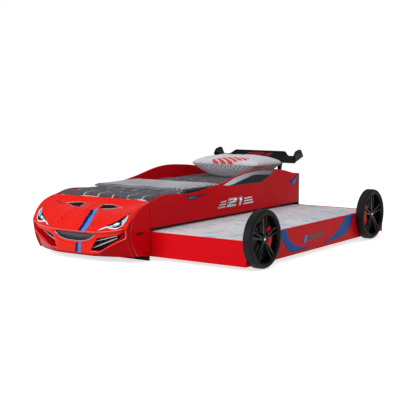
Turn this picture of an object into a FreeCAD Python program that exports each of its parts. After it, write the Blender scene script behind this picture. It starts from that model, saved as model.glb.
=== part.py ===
import FreeCAD, Part
import math
import os

# A children's bed shaped like a racing car, with a pull-out trundle bed under it.
# Millimetres. While it is modelled, X = 0 is the middle of the bed, Y = 0 is the rear
# edge of the side panels (the hood points to -Y) and Z = 0 is the floor. "near" is the
# +X side, where the trundle comes out, and "far" is the -X side. The model is written
# out in the trundle's pulled-out place, about the middle of the whole box it stands in.

# ---- driving dimensions: body ------------------------------------------------------
BODY_LENGTH = 2248.0        # nose of the hood to the back of the rear board
BODY_WIDTH = 862.0          # across the outer faces of the side panels
DRAWN_WIDTH = 862.0         # body width for which the front's openings and the spoiler are drawn
PANEL = 12.0                # painted board of every side, end and fender panel
REAR_BOARD = 16.0           # thickness of the rear board
EDGE_SOFT = 1.5             # rounding of the boards' long edges
REAR_HEIGHT = 446.0         # rear board and rear corners of the side panels
HOOD_LENGTH = 298.0         # nose to the seam between the hood and the side panels
PLINTH_HEIGHT = 28.0        # black base that keeps the painted panels off the floor
PLINTH_BOARD = 12.0
PLINTH_SETBACK = 6.0        # plinth behind the outer face of the panels
NEAR_SIDE_BOTTOM = 212.0    # underside of the raised near side panel
TRIM_HEIGHT = 8.0           # black edge strip under the raised panel
TRIM_PROUD = 0.8
SCREW_HEAD_R = 5.0
SCREW_HEAD = 3.0
SCREW_R = 2.5
SCREW_LENGTH = 50.0
SCREW_PLAY = 0.25
SCREW_PITCH = 75.0
CLEAR = 0.3                 # between soft or curved pieces and what carries them

# Top line of a side panel: (distance behind the seam, height) and then
# (distance ahead of the rear edge, height).
TOP_LINE_FRONT = [(0.0, 391.0), (55.0, 403.0), (97.0, 414.0), (165.0, 421.0), (369.0, 410.0), (669.0, 425.0)]
TOP_LINE_REAR = [(997.0, 467.0), (824.0, 503.0), (640.0, 520.0), (440.0, 511.0), (200.0, 481.0), (49.0, 450.0)]

# Side view of the hood and bumper as (distance ahead of the seam, height): on the
# middle line, where they reach the nose, and at the fenders.
SHELL_WALL = 4.0
NOSE = HOOD_LENGTH
HOOD_MIDDLE = [(0.0, 396.0), (45.0, 371.0), (110.0, 346.0), (225.0, 290.0), (NOSE, 204.0)]
HOOD_FENDER = [(0.0, 392.0), (40.0, 386.0), (90.0, 371.0), (170.0, 314.0), (216.0, 242.0)]
BUMPER_MIDDLE = [(NOSE, 204.0), (NOSE - 13.0, 176.0), (NOSE - 26.0, 66.0), (NOSE - 39.0, 40.0)]
BUMPER_FENDER = [(216.0, 242.0), (212.0, 200.0), (180.0, 94.0), (151.0, 43.0)]
FRONT_ROUNDING = 3.2        # power by which the middle turns into the fender section
HOOD_DISH = 12.0            # shallow valleys between the middle and the fenders
SHELL_STATIONS = [0.0, 0.3, 0.55, 0.78, 0.92, 1.0]
SHELL_FLANGE = 45.0         # width of the return under the bumper

# Openings in the hood and bumper, seen from the front as (x, z) or from above as
# (x, distance ahead of the seam); the far side mirrors the near side.
GRILLE_TOP = (176.0, 191.0)
GRILLE_BOTTOM = (124.0, 128.0)
GRILLE_CORNER = 14.0
GRILLE_PITCH = 15.0
GRILLE_BAR = 3.0
GRILLE_SET_BACK = 24.0      # mesh behind the skin, at the bottom of its mouth
MOUTH_WALL = 3.5
HEADLIGHT = [(203.0, 213.0), (262.0, 243.0), (345.0, 286.0), (386.0, 328.0), (397.0, 306.0), (394.0, 275.0),
             (380.0, 248.0), (350.0, 229.0), (315.0, 229.0), (282.0, 234.0), (244.0, 222.0)]
FOG_INTAKE = [(196.0, 160.0), (362.0, 193.0), (411.0, 224.0), (408.0, 172.0), (222.0, 76.0), (150.0, 76.0)]
HOOD_VENT = [(80.0, 122.0), (82.0, 62.0), (155.0, 50.0), (245.0, 70.0), (150.0, 96.0)]
VENT_LOUVRES = 4
LOUVRE_SLOT = 5.0
INSERT_LAP = 8.0            # how far an insert reaches behind the shell round its opening
INSERT_WALL = 4.0
FOG_DEPTH = 42.0
FOG_BAR = 7.0
FOG_BAR_LINES = [0.34, 0.68]  # share of the intake's height at which its bars run

# ---- driving dimensions: sleeping deck and bedding ---------------------------------
RAIL_WIDTH = 30.0
RAIL_HEIGHT = 26.0
SLAT_WIDTH = 70.0
SLAT_THICK = 18.0
SLAT_COUNT = 13
SLAT_END_PLAY = 1.0
MATTRESS_SIDE_PLAY = 17.0   # quilt and air between mattress and panels
MATTRESS_END_PLAY = 24.0
MATTRESS_HEIGHT = 150.0
MATTRESS_ROUND = 34.0
QUILT = 14.0                # thickness of the quilt
QUILT_DROP = 30.0           # how far the quilt turns down round the mattress
BLANKET_FRONT = 1510.0      # front edge of the folded blanket, ahead of the rear edge
BLANKET_LENGTH = 450.0
BLANKET_FAR_PLAY = 5.0      # its far end to the far panel
BLANKET_NEAR_PLAY = 33.0    # its near end to the near panel
BLANKET_THICK = 24.0
PILLOW_LENGTH = 664.0
PILLOW_DEPTH = 440.0
PILLOW_HEIGHT = 168.0
PILLOW_CENTRE = 262.0       # ahead of the rear edge
PILLOW_DRAW = 26.0          # how far the pillow's sides draw in between its corners
PILLOW_SEAM = 10.0
PILLOW_UPPER = 0.54         # share of its thickness above the seam

# ---- driving dimensions: spoiler -----------------------------------------------------
WING_INSET = 39.0           # inner faces of its end plates, in from the panels' outer faces
WING_TOP = 616.0
WING_SHOULDER = 581.0       # lower top edge of the wing's two ends
WING_TOP_HALF = 238.0
WING_SHOULDER_HALF = 302.0
WING_BOTTOM = 524.0
WING_FRONT = 2.0            # Y of the wing's lower front edge
WING_CHORD = 92.0           # how far its top edge stands behind that
WING_HOLLOW = 14.0          # depth of the curve between them
WING_THICK = 14.0
END_PLATE = 10.0
END_PLATE_SIDE = [(-20.0, 585.0), (12.0, 622.0), (70.0, 635.0), (94.0, 632.0), (135.0, 575.0), (12.0, 536.0)]
STRUT_X = 236.0
STRUT_WIDTH = 28.0
STRUT_FOOT = 14.0
STRUT_FOOT_DROP = 84.0

# ---- driving dimensions: trundle -------------------------------------------------------
TRUNDLE_PULL = 738.0        # how far it stands pulled out
TRUNDLE_OVERLAP_GAP = 1.5   # between its side panel and the body when it is closed
TRUNDLE_END_GAP = 3.0
TRUNDLE_FAR_GAP = 8.0
TRUNDLE_BOTTOM = 28.0
TRUNDLE_END_TOP = 192.0
TRUNDLE_SIDE_TOP = 214.0
TRUNDLE_SIDE_REAR = 17.0    # its side panel laps the rear board's edge
TRUNDLE_INNER_TOP = 120.0
TRUNDLE_HEADROOM = 6.0      # mattress below the black edge strip
TRUNDLE_MATTRESS = 104.0
TRUNDLE_PLAY = 4.0
TRUNDLE_ROUND = 26.0
LEDGE_WIDTH = 30.0
LEDGE_HEIGHT = 23.0
TRUNDLE_SLATS = 12
TRUNDLE_SLAT_THICK = 18.0
BEARER_WIDTH = 80.0
CASTER_R = 24.0
CASTER_WIDTH = 20.0
CASTER_PLAY = 2.0
CASTER_CHEEK = 3.0
CASTER_AXLE_R = 4.0
CASTER_BORE_PLAY = 0.05
CASTER_FROM_ENDS = 270.0    # casters from the trundle's two ends
CASTER_FROM_SIDES = 78.0    # casters from its two long sides

# ---- driving dimensions: wheel covers --------------------------------------------------
WHEEL_R = 187.0
WHEEL_DEPTH = 58.0
WHEEL_GROUND_GAP = 5.0
WHEEL_FRONT = 1787.0        # hub ahead of the rear edge
WHEEL_REAR = 262.0
WHEEL_WALL = 4.0
SIDEWALL = 32.0             # width of the tyre's side, from tread to rim
SHOULDER_R = 10.0
RIM_RING = 9.0
RIM_DEPTH = 30.0
RIM_INSET = 6.0             # rim behind the tyre's face
SPOKE_PAIRS = 5
SPOKE_SPREAD = 10.5         # degrees between a pair's middle and each of its spokes
SPOKE_ROOT = 20.0
SPOKE_TIP = 15.0
SPOKE_DEPTH = 12.0
HUB_R = 27.0
HUB_CAP_R = 13.0
HUB_CAP_DEPTH = 6.0
CALIPER_INNER = 58.0
CALIPER_OUTER = 122.0
CALIPER_SWEEP = 96.0        # degrees
CALIPER_DEPTH = 15.0

# ---- places worked out from them ---------------------------------------------------------
HALF = BODY_WIDTH / 2
INNER = HALF - PANEL
SEAM = -(BODY_LENGTH - REAR_BOARD - HOOD_LENGTH)
RAIL_TOP = NEAR_SIDE_BOTTOM + RAIL_HEIGHT
SLAT_TOP = RAIL_TOP + SLAT_THICK
TRIM_BOTTOM = NEAR_SIDE_BOTTOM - TRIM_HEIGHT
T_FACE = HALF + TRUNDLE_OVERLAP_GAP + PANEL     # trundle's outer face when closed
T_INSIDE = T_FACE - PANEL
T_FAR = -INNER + TRUNDLE_FAR_GAP                # its far edge when closed
T_FRONT = SEAM + TRUNDLE_END_GAP
T_REAR = -TRUNDLE_END_GAP
CASTER_TOP = CASTER_R * 2 + CASTER_PLAY + CASTER_CHEEK
LEDGE_TOP = CASTER_TOP + LEDGE_HEIGHT
T_SLAT_TOP = LEDGE_TOP + TRUNDLE_SLAT_THICK
WHEEL_Z = WHEEL_R + WHEEL_GROUND_GAP
RIM_R = WHEEL_R - SIDEWALL


def vec(x, y, z):
    return FreeCAD.Vector(x, y, z)


def box(x0, x1, y0, y1, z0, z1):
    return Part.makeBox(x1 - x0, y1 - y0, z1 - z0, vec(x0, y0, z0))


def place(plane, u, v, w=0.0):
    """A point of an outline drawn as (u, v) in the plane named by its axes, w along the third."""
    return {"xz": vec(u, w, v), "yz": vec(w, u, v), "xy": vec(u, v, w)}[plane]


def along(plane, distance):
    return {"xz": vec(0, distance, 0), "yz": vec(distance, 0, 0), "xy": vec(0, 0, distance)}[plane]


def prism(wire_edges, plane, distance):
    return Part.Face(Part.Wire(wire_edges)).extrude(along(plane, distance))


def polygon_edges(plane, points, w):
    corners = [place(plane, u, v, w) for u, v in points]
    return [Part.makeLine(a, b) for a, b in zip(corners, corners[1:] + corners[:1])]


def polygon(plane, points, w0, w1):
    """A straight-sided outline pushed from w0 to w1."""
    return prism(polygon_edges(plane, points, w0), plane, w1 - w0)


def rounded_polygon(plane, points, radius, w0, w1):
    """The same with every corner rounded."""
    edges = []
    starts = []
    count = len(points)
    for index, corner in enumerate(points):
        before = FreeCAD.Vector(*points[index - 1], 0) - FreeCAD.Vector(*corner, 0)
        after = FreeCAD.Vector(*points[(index + 1) % count], 0) - FreeCAD.Vector(*corner, 0)
        turn = before.getAngle(after)
        reach = min(radius / math.tan(turn / 2), 0.45 * before.Length, 0.45 * after.Length)
        here = FreeCAD.Vector(*corner, 0)
        first = here + before.normalize() * reach
        last = here + after.normalize() * reach
        middle_way = (before + after).normalize()
        bulge = reach * math.tan(turn / 2) * (1 / math.sin(turn / 2) - 1)
        starts.append((first, here + middle_way * bulge, last))
    for index, (first, top, last) in enumerate(starts):
        ends = [place(plane, p.x, p.y, w0) for p in (first, top, last)]
        edges.append(Part.Arc(*ends).toShape())
        following = starts[(index + 1) % count][0]
        edges.append(Part.makeLine(ends[2], place(plane, following.x, following.y, w0)))
    return prism(edges, plane, w1 - w0)


def grown(points, distance):
    """A polygon with each side moved outwards by the distance."""
    area = sum(a[0] * b[1] - b[0] * a[1] for a, b in zip(points, points[1:] + points[:1]))
    sign = 1.0 if area > 0 else -1.0
    lines = []
    for a, b in zip(points, points[1:] + points[:1]):
        length = math.hypot(b[0] - a[0], b[1] - a[1])
        normal = (sign * (b[1] - a[1]) / length, -sign * (b[0] - a[0]) / length)
        lines.append((normal, normal[0] * a[0] + normal[1] * a[1] + distance))
    result = []
    for (n0, c0), (n1, c1) in zip(lines[-1:] + lines[:-1], lines):
        det = n0[0] * n1[1] - n0[1] * n1[0]
        result.append(((c0 * n1[1] - c1 * n0[1]) / det, (n0[0] * c1 - n1[0] * c0) / det))
    return result


def spline_edge(points):
    curve = Part.BSplineCurve()
    curve.interpolate(points)
    return curve.toShape()


def cylinder(radius, length, at, direction):
    return Part.makeCylinder(radius, length, at, direction)


def mirrored(shape):
    return shape.mirror(vec(0, 0, 0), vec(1, 0, 0))


def both_sides(shape):
    return Part.makeCompound([shape, mirrored(shape)])


# ---- side view of the hood and bumper -------------------------------------------------
def blend(middle, fender, share):
    return [(a[0] + (b[0] - a[0]) * share, a[1] + (b[1] - a[1]) * share) for a, b in zip(middle, fender)]


def front_lines(fraction, inset):
    """Hood line and bumper line at a share of the half width, moved inwards by the inset."""
    share = fraction ** FRONT_ROUNDING
    dish = HOOD_DISH * math.sin(math.pi * min(fraction, 1.0)) ** 2
    hood = blend(HOOD_MIDDLE, HOOD_FENDER, share)
    hood = hood[:1] + [(f, z - dish) for f, z in hood[1:-1]] + hood[-1:]
    bumper = blend(BUMPER_MIDDLE, BUMPER_FENDER, share)
    line = hood + bumper[1:]
    moved = []
    for index, (f, z) in enumerate(line):
        before = line[max(index - 1, 0)]
        after = line[min(index + 1, len(line) - 1)]
        df, dz = after[0] - before[0], after[1] - before[1]
        length = math.hypot(df, dz)
        moved.append((f + inset * dz / length, z - inset * df / length))
    moved[0] = (0.0, hood[0][1] - inset)
    lip = bumper[-1]
    moved[-1] = (lip[0] - inset, lip[1] + inset)
    return moved[:len(hood)], moved[len(hood) - 1:]


def front_section(x, inset, behind):
    """Closed section of the space inside the hood and bumper at x."""
    hood, bumper = front_lines(abs(x) / HALF, inset)
    top = [vec(x, SEAM - f, z) for f, z in hood]
    low = [vec(x, SEAM - f, z) for f, z in bumper]
    top_rear = vec(x, SEAM + behind, hood[0][1])
    low_rear = vec(x, SEAM + behind, PLINTH_HEIGHT + inset)
    edges = [spline_edge(top), spline_edge(low), Part.makeLine(low[-1], low_rear), Part.makeLine(low_rear, top_rear)]
    if behind:
        edges.append(Part.makeLine(top_rear, top[0]))
    return Part.Wire(edges)


def front_volume(inset, beyond=0.0):
    """Solid inside the hood and bumper surface moved in by the inset."""
    stations = [-s for s in reversed(SHELL_STATIONS[1:])] + SHELL_STATIONS
    wires = [front_section(s * (HALF + beyond), inset, beyond) for s in stations]
    return Part.makeLoft(wires, True, False)


def widened(points):
    """An outline drawn for the drawn width, as wide as the body is."""
    return [(x * BODY_WIDTH / DRAWN_WIDTH, other) for x, other in points]


def front_opening(points, distance, plane="xz"):
    """A prism through the front skin, of an outline grown by the distance."""
    outline = grown(points, distance)
    if plane == "xz":
        return polygon("xz", outline, SEAM - NOSE - 20, SEAM - 90)
    return polygon("xy", [(x, SEAM - f) for x, f in outline], 300, 430)


def grille_outline():
    top, bottom = widened([GRILLE_TOP, GRILLE_BOTTOM])
    return [top, (-top[0], top[1]), (-bottom[0], bottom[1]), bottom]


def make_front():
    """Hood and bumper shell with its grille, lamps, intakes and vents."""
    headlight, fog, scoop = widened(HEADLIGHT), widened(FOG_INTAKE), widened(HOOD_VENT)
    outside = front_volume(0.0)
    inside = front_volume(SHELL_WALL, 12.0)
    seat = front_volume(SHELL_WALL + CLEAR, 12.0)
    seat_back = front_volume(SHELL_WALL + CLEAR + INSERT_WALL, 12.0)
    skin = outside.cut(inside)
    lining = seat.cut(seat_back)

    shell = skin
    flange_back = SEAM - BUMPER_FENDER[-1][0] + SHELL_FLANGE
    shell = shell.cut(box(-HALF - 1, HALF + 1, flange_back, SEAM + 1, 0, BUMPER_FENDER[-1][1] + SHELL_WALL + 1))
    mouth, mouth_outside, mouth_room = (
        rounded_polygon("xz", grown(grille_outline(), more), GRILLE_CORNER + more, SEAM - NOSE - 20, SEAM - 150)
        for more in (0.0, MOUTH_WALL, MOUTH_WALL + 1.0))
    mouth_front = front_volume(SHELL_WALL + GRILLE_SET_BACK, 12.0)
    mouth_back = front_volume(SHELL_WALL + GRILLE_SET_BACK + INSERT_WALL, 12.0)
    mouth_wall = outside.common(mouth_outside).cut([mouth, mouth_back])
    shell = shell.fuse(mouth_wall)
    cutters = [mouth]
    for outline, plane in ((headlight, "xz"), (fog, "xz"), (scoop, "xy")):
        hole = front_opening(outline, 0.0, plane)
        cutters += [hole, mirrored(hole)]
    shell = shell.cut(cutters)

    grille = mouth.common(mouth_front).cut(mouth_back)
    holes = []
    (top_x, top_z), (bottom_x, bottom_z) = widened([GRILLE_TOP, GRILLE_BOTTOM])
    columns = int(top_x // GRILLE_PITCH)
    rows = int((top_z - bottom_z - GRILLE_BAR) // GRILLE_PITCH)
    for column in range(-columns, columns + 1):
        for row in range(rows):
            x = column * GRILLE_PITCH + (GRILLE_PITCH / 2 if row % 2 else 0.0)
            z = bottom_z + GRILLE_BAR + row * GRILLE_PITCH
            reach = bottom_x + (top_x - bottom_x) * (z - bottom_z) / (top_z - bottom_z)
            half = (GRILLE_PITCH - GRILLE_BAR) / 2
            if abs(x) - half < reach:
                holes.append(box(x - half, x + half, SEAM - NOSE, SEAM - 150, z, z + 2 * half))
    inner_mouth = rounded_polygon("xz", grown(grille_outline(), -GRILLE_BAR), GRILLE_CORNER - GRILLE_BAR,
                                  SEAM - NOSE - 20, SEAM - 150)
    grille = grille.cut(Part.makeCompound(holes).common(inner_mouth))
    grille = max(grille.Solids, key=lambda piece: piece.Volume)

    lens = skin.common(front_opening(headlight, -CLEAR))
    housing = lining.common(front_opening(headlight, INSERT_LAP)).cut(mouth_room)

    fog_back = SEAM - 216.0 + FOG_DEPTH
    intake = seat.common(polygon("xz", fog, SEAM - NOSE, fog_back))
    intake = intake.cut(polygon("xz", grown(fog, -INSERT_WALL), SEAM - NOSE - 1, fog_back - INSERT_WALL))
    bars = []
    bar_skin = front_volume(SHELL_WALL * 2, 12.0).cut(front_volume(SHELL_WALL * 2 + FOG_BAR, 12.0))
    (x_in, top_in), (x_out, top_out) = fog[0], fog[1]
    low_in = fog[4][1]
    for share in FOG_BAR_LINES:
        drop = share * (top_in - low_in)
        line = [(x_in - 60, top_in - drop - 10), (x_out, top_out - drop), (x_out, top_out - drop + FOG_BAR),
                (x_in - 60, top_in - drop - 10 + FOG_BAR)]
        bar = bar_skin.common(polygon("xz", line, SEAM - NOSE, fog_back))
        bars.append(bar.common(polygon("xz", grown(fog, -INSERT_WALL - CLEAR), SEAM - NOSE, fog_back)))

    vent = lining.common(front_opening(scoop, INSERT_LAP, "xy"))
    louvres = []
    xs = [x for x, f in scoop]
    step = (max(xs) - min(xs)) / (VENT_LOUVRES + 1)
    inner_vent = front_opening(scoop, -INSERT_WALL, "xy")
    for index in range(VENT_LOUVRES):
        x = min(xs) + step * (index + 1)
        louvres.append(box(x - LOUVRE_SLOT / 2, x + LOUVRE_SLOT / 2, SEAM - 100, SEAM, 300, 430).common(inner_vent))
    vent = vent.cut(louvres)

    return {
        "front_shell": shell,
        "grille_mesh": grille,
        "near_headlight_lens": lens,
        "far_headlight_lens": mirrored(lens),
        "near_headlight_housing": housing,
        "far_headlight_housing": mirrored(housing),
        "near_fog_intake": intake,
        "far_fog_intake": mirrored(intake),
        "fog_bars": Part.makeCompound(bars + [mirrored(bar) for bar in bars]),
        "hood_vent_grilles": both_sides(vent),
    }


# ---- panels ----------------------------------------------------------------------------
def side_outline(bottom):
    """Edges of a side panel, seen from the side."""
    line = [(SEAM + back, z) for back, z in TOP_LINE_FRONT] + [(-ahead, z) for ahead, z in TOP_LINE_REAR]
    line.append((0.0, REAR_HEIGHT))
    top = [place("yz", y, z) for y, z in line]
    low_front, low_rear = place("yz", SEAM, bottom), place("yz", 0.0, bottom)
    return [spline_edge(top), Part.makeLine(top[-1], low_rear), Part.makeLine(low_rear, low_front),
            Part.makeLine(low_front, top[0])]


def side_panel(bottom, screw_heights):
    panel = prism(side_outline(bottom), "yz", PANEL)
    panel.translate(vec(INNER, 0, 0))
    panel = softened(panel, top_edge)
    middle = HALF - PANEL / 2
    holes = [cylinder(SCREW_R + SCREW_PLAY, SCREW_LENGTH, vec(middle, 0, z), vec(0, -1, 0)) for z in screw_heights]
    return panel.cut(holes)


def fender_panel(room):
    """Flat front fender that fills the side of the hood and bumper shell."""
    lip, lip_height = BUMPER_FENDER[-1]
    upper = room.common(box(INNER, HALF, SEAM - NOSE, SEAM, PLINTH_HEIGHT, REAR_HEIGHT))
    edge = lip - SHELL_FLANGE - CLEAR
    rise = (lip_height - PLINTH_HEIGHT) * edge / lip
    foot = [(SEAM, PLINTH_HEIGHT), (SEAM - edge, PLINTH_HEIGHT + rise), (SEAM - edge, lip_height + 20.0),
            (SEAM, lip_height + 20.0)]
    return upper.fuse(polygon("yz", foot, INNER, HALF)).removeSplitter()


def softened(board, wanted):
    """The board with the rounded long edges that a painted board has."""
    edges = [edge for edge in board.Edges if edge.Length > 100.0 and wanted(edge)]
    eased = board.makeFillet(EDGE_SOFT, edges)
    return eased if eased.isValid() and len(eased.Solids) == 1 else board


def top_edge(edge):
    """Edges along the top line of a side panel."""
    return edge.BoundBox.ZMin > REAR_HEIGHT - 60.0 and edge.BoundBox.YLength > 1000.0


def screw_rows():
    """Heights of the screws through the rear board: in both sides, and in the far side only."""
    top = REAR_HEIGHT - 40.0
    upper = [top - index * SCREW_PITCH for index in range(3)]
    lower = [NEAR_SIDE_BOTTOM - 40.0, PLINTH_HEIGHT + 40.0]
    return upper, lower


def screw_places():
    upper, lower = screw_rows()
    middle = HALF - PANEL / 2
    return [(side * middle, z) for z in upper for side in (-1, 1)] + [(-middle, z) for z in lower]


def panel_screw(x, z):
    shank = cylinder(SCREW_R, SCREW_LENGTH - 5, vec(x, REAR_BOARD, z), vec(0, -1, 0))
    head = cylinder(SCREW_HEAD_R, SCREW_HEAD, vec(x, REAR_BOARD, z), vec(0, 1, 0))
    socket = cylinder(SCREW_R, SCREW_HEAD / 2, vec(x, REAR_BOARD + SCREW_HEAD / 2, z), vec(0, 1, 0))
    return head.fuse(shank).cut(socket)


def make_panels():
    upper, lower = screw_rows()
    near = side_panel(NEAR_SIDE_BOTTOM, upper)
    far = mirrored(side_panel(PLINTH_HEIGHT, upper + lower))
    trim = box(INNER, HALF + TRIM_PROUD, SEAM, 0, TRIM_BOTTOM, NEAR_SIDE_BOTTOM)
    room = front_volume(SHELL_WALL + CLEAR, PANEL)
    fender = fender_panel(room)
    shoulder = HOOD_FENDER[0][1] - 60.0
    bulkhead = box(-INNER, INNER, SEAM - PANEL, SEAM, PLINTH_HEIGHT, shoulder)
    bulkhead = bulkhead.fuse(room.common(box(-INNER, INNER, SEAM - PANEL, SEAM, shoulder, REAR_HEIGHT)))
    bulkhead = bulkhead.removeSplitter()
    rear = softened(box(-HALF, HALF, 0, REAR_BOARD, 0, REAR_HEIGHT),
                    lambda edge: edge.BoundBox.YMin > REAR_BOARD - 1.0 and edge.BoundBox.ZMax > 1.0)
    holes = [cylinder(SCREW_R + SCREW_PLAY, REAR_BOARD, vec(x, 0, z), vec(0, 1, 0)) for x, z in screw_places()]
    screws = Part.makeCompound([panel_screw(x, z) for x, z in screw_places()])

    bracket_leg, bracket_plate, bracket_width = 40.0, 3.0, 30.0
    brackets = []
    for z in (100.0, 290.0):
        corner = [(INNER, SEAM - PANEL), (INNER - bracket_leg, SEAM - PANEL),
                  (INNER - bracket_leg, SEAM - PANEL - bracket_plate),
                  (INNER - bracket_plate, SEAM - PANEL - bracket_plate),
                  (INNER - bracket_plate, SEAM - PANEL - bracket_leg), (INNER, SEAM - PANEL - bracket_leg)]
        brackets.append(polygon("xy", corner, z, z + bracket_width))

    outer = HALF - PLINTH_SETBACK
    front_plinth = box(-outer, outer, SEAM - PLINTH_BOARD, SEAM, 0, PLINTH_HEIGHT)
    far_plinth = box(-outer, -outer + PLINTH_BOARD, SEAM, 0, 0, PLINTH_HEIGHT)
    return {
        "near_side_panel": near,
        "far_side_panel": far,
        "near_bottom_trim": trim,
        "near_fender_panel": fender,
        "far_fender_panel": mirrored(fender),
        "front_bulkhead": bulkhead,
        "rear_board": rear.cut(holes),
        "panel_screws": screws,
        "corner_brackets": Part.makeCompound(brackets + [mirrored(b) for b in brackets]),
        "front_plinth": front_plinth,
        "far_plinth": far_plinth,
    }


# ---- deck and bedding --------------------------------------------------------------------
def slat_row(count, width, thick, x0, x1, y0, y1, top):
    """Evenly spaced slats between y0 and y1, lying across X."""
    step = (y1 - y0 - width) / (count - 1)
    return Part.makeCompound([
        box(x0, x1, y0 + index * step, y0 + index * step + width, top - thick, top) for index in range(count)])


def soft_block(x0, x1, y0, y1, z0, z1, radius):
    """A padded block whose top edges are rounded and whose ends and sides bulge down."""
    def arch(plane, a, b):
        lean = radius * (1 - math.sqrt(0.5))
        low_a, low_b = place(plane, a, z0), place(plane, b, z0)
        side_a, side_b = place(plane, a, z1 - radius), place(plane, b, z1 - radius)
        top_a, top_b = place(plane, a + radius, z1), place(plane, b - radius, z1)
        corner_a, corner_b = place(plane, a + lean, z1 - lean), place(plane, b - lean, z1 - lean)
        return [Part.makeLine(low_a, side_a), Part.Arc(side_a, corner_a, top_a).toShape(),
                Part.makeLine(top_a, top_b), Part.Arc(top_b, corner_b, side_b).toShape(),
                Part.makeLine(side_b, low_b), Part.makeLine(low_b, low_a)]
    across = prism(arch("xz", x0, x1), "xz", y1 - y0)
    across.translate(vec(0, y0, 0))
    lengthwise = prism(arch("yz", y0, y1), "yz", x1 - x0)
    lengthwise.translate(vec(x0, 0, 0))
    return across.common(lengthwise)


def cushion(length, depth, height, draw, seam, upper):
    """A crowned pillow about the origin: thick in the middle, thin at its seam, sides drawn in."""
    wires = []
    shares = [-1.0, -0.82, -0.45, 0.0, 0.45, 0.82, 1.0]
    for share in shares:
        x = share * length / 2
        half_depth = depth / 2 - draw * (1 - abs(share) ** 4)
        thick = seam + (height - seam) * (1 - abs(share) ** 3.2)
        front, rear = vec(x, -half_depth, 0), vec(x, half_depth, 0)
        low, high = vec(x, 0, -thick * (1 - upper)), vec(x, 0, thick * upper)
        shift = vec(0, 0, seam * 0.3)
        top_arc = Part.Arc(front + shift, high, rear + shift).toShape()
        low_arc = Part.Arc(rear - shift, low, front - shift).toShape()
        wires.append(Part.Wire([top_arc, Part.makeLine(rear + shift, rear - shift), low_arc,
                                Part.makeLine(front - shift, front + shift)]))
    return Part.makeLoft(wires, True, False)


def make_deck():
    near_rail = box(INNER - RAIL_WIDTH, INNER, SEAM, 0, NEAR_SIDE_BOTTOM, RAIL_TOP)
    cross_reach = INNER - RAIL_WIDTH
    cross_rails = [box(-cross_reach, cross_reach, SEAM, SEAM + RAIL_WIDTH, NEAR_SIDE_BOTTOM, RAIL_TOP),
                   box(-cross_reach, cross_reach, -RAIL_WIDTH, 0, NEAR_SIDE_BOTTOM, RAIL_TOP)]
    slat_half = INNER - SLAT_END_PLAY
    slats = slat_row(SLAT_COUNT, SLAT_WIDTH, SLAT_THICK, -slat_half, slat_half, SEAM + 2, -2, SLAT_TOP)

    half_bed = INNER - MATTRESS_SIDE_PLAY
    bottom = SLAT_TOP + CLEAR
    top = bottom + MATTRESS_HEIGHT
    mattress = soft_block(-half_bed, half_bed, SEAM + MATTRESS_END_PLAY, -MATTRESS_END_PLAY, bottom, top,
                          MATTRESS_ROUND)
    half_quilt = half_bed + QUILT
    quilt_top = top + CLEAR + QUILT
    quilt = soft_block(-half_quilt, half_quilt, SEAM + MATTRESS_END_PLAY - QUILT, QUILT - MATTRESS_END_PLAY,
                       top - QUILT_DROP, quilt_top, MATTRESS_ROUND + QUILT)
    hollow = soft_block(-half_bed - CLEAR, half_bed + CLEAR, SEAM + MATTRESS_END_PLAY - CLEAR,
                        CLEAR - MATTRESS_END_PLAY, bottom, top + CLEAR, MATTRESS_ROUND)
    quilt = quilt.cut(hollow)

    blanket_rest = quilt_top + CLEAR
    blanket = soft_block(BLANKET_FAR_PLAY - INNER, INNER - BLANKET_NEAR_PLAY, -BLANKET_FRONT,
                         BLANKET_LENGTH - BLANKET_FRONT, blanket_rest, blanket_rest + BLANKET_THICK, BLANKET_THICK * 0.45)
    pillow = cushion(PILLOW_LENGTH, PILLOW_DEPTH, PILLOW_HEIGHT, PILLOW_DRAW, PILLOW_SEAM, PILLOW_UPPER)
    lift = quilt_top + CLEAR - pillow.optimalBoundingBox(False).ZMin
    pillow.translate(vec(0, -PILLOW_CENTRE, lift))
    return {
        "near_slat_rail": near_rail,
        "far_slat_rail": mirrored(near_rail),
        "cross_rails": Part.makeCompound(cross_rails),
        "bed_slats": slats,
        "bed_mattress": mattress,
        "quilt": quilt,
        "blanket": blanket,
        "pillow": pillow,
    }


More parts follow.
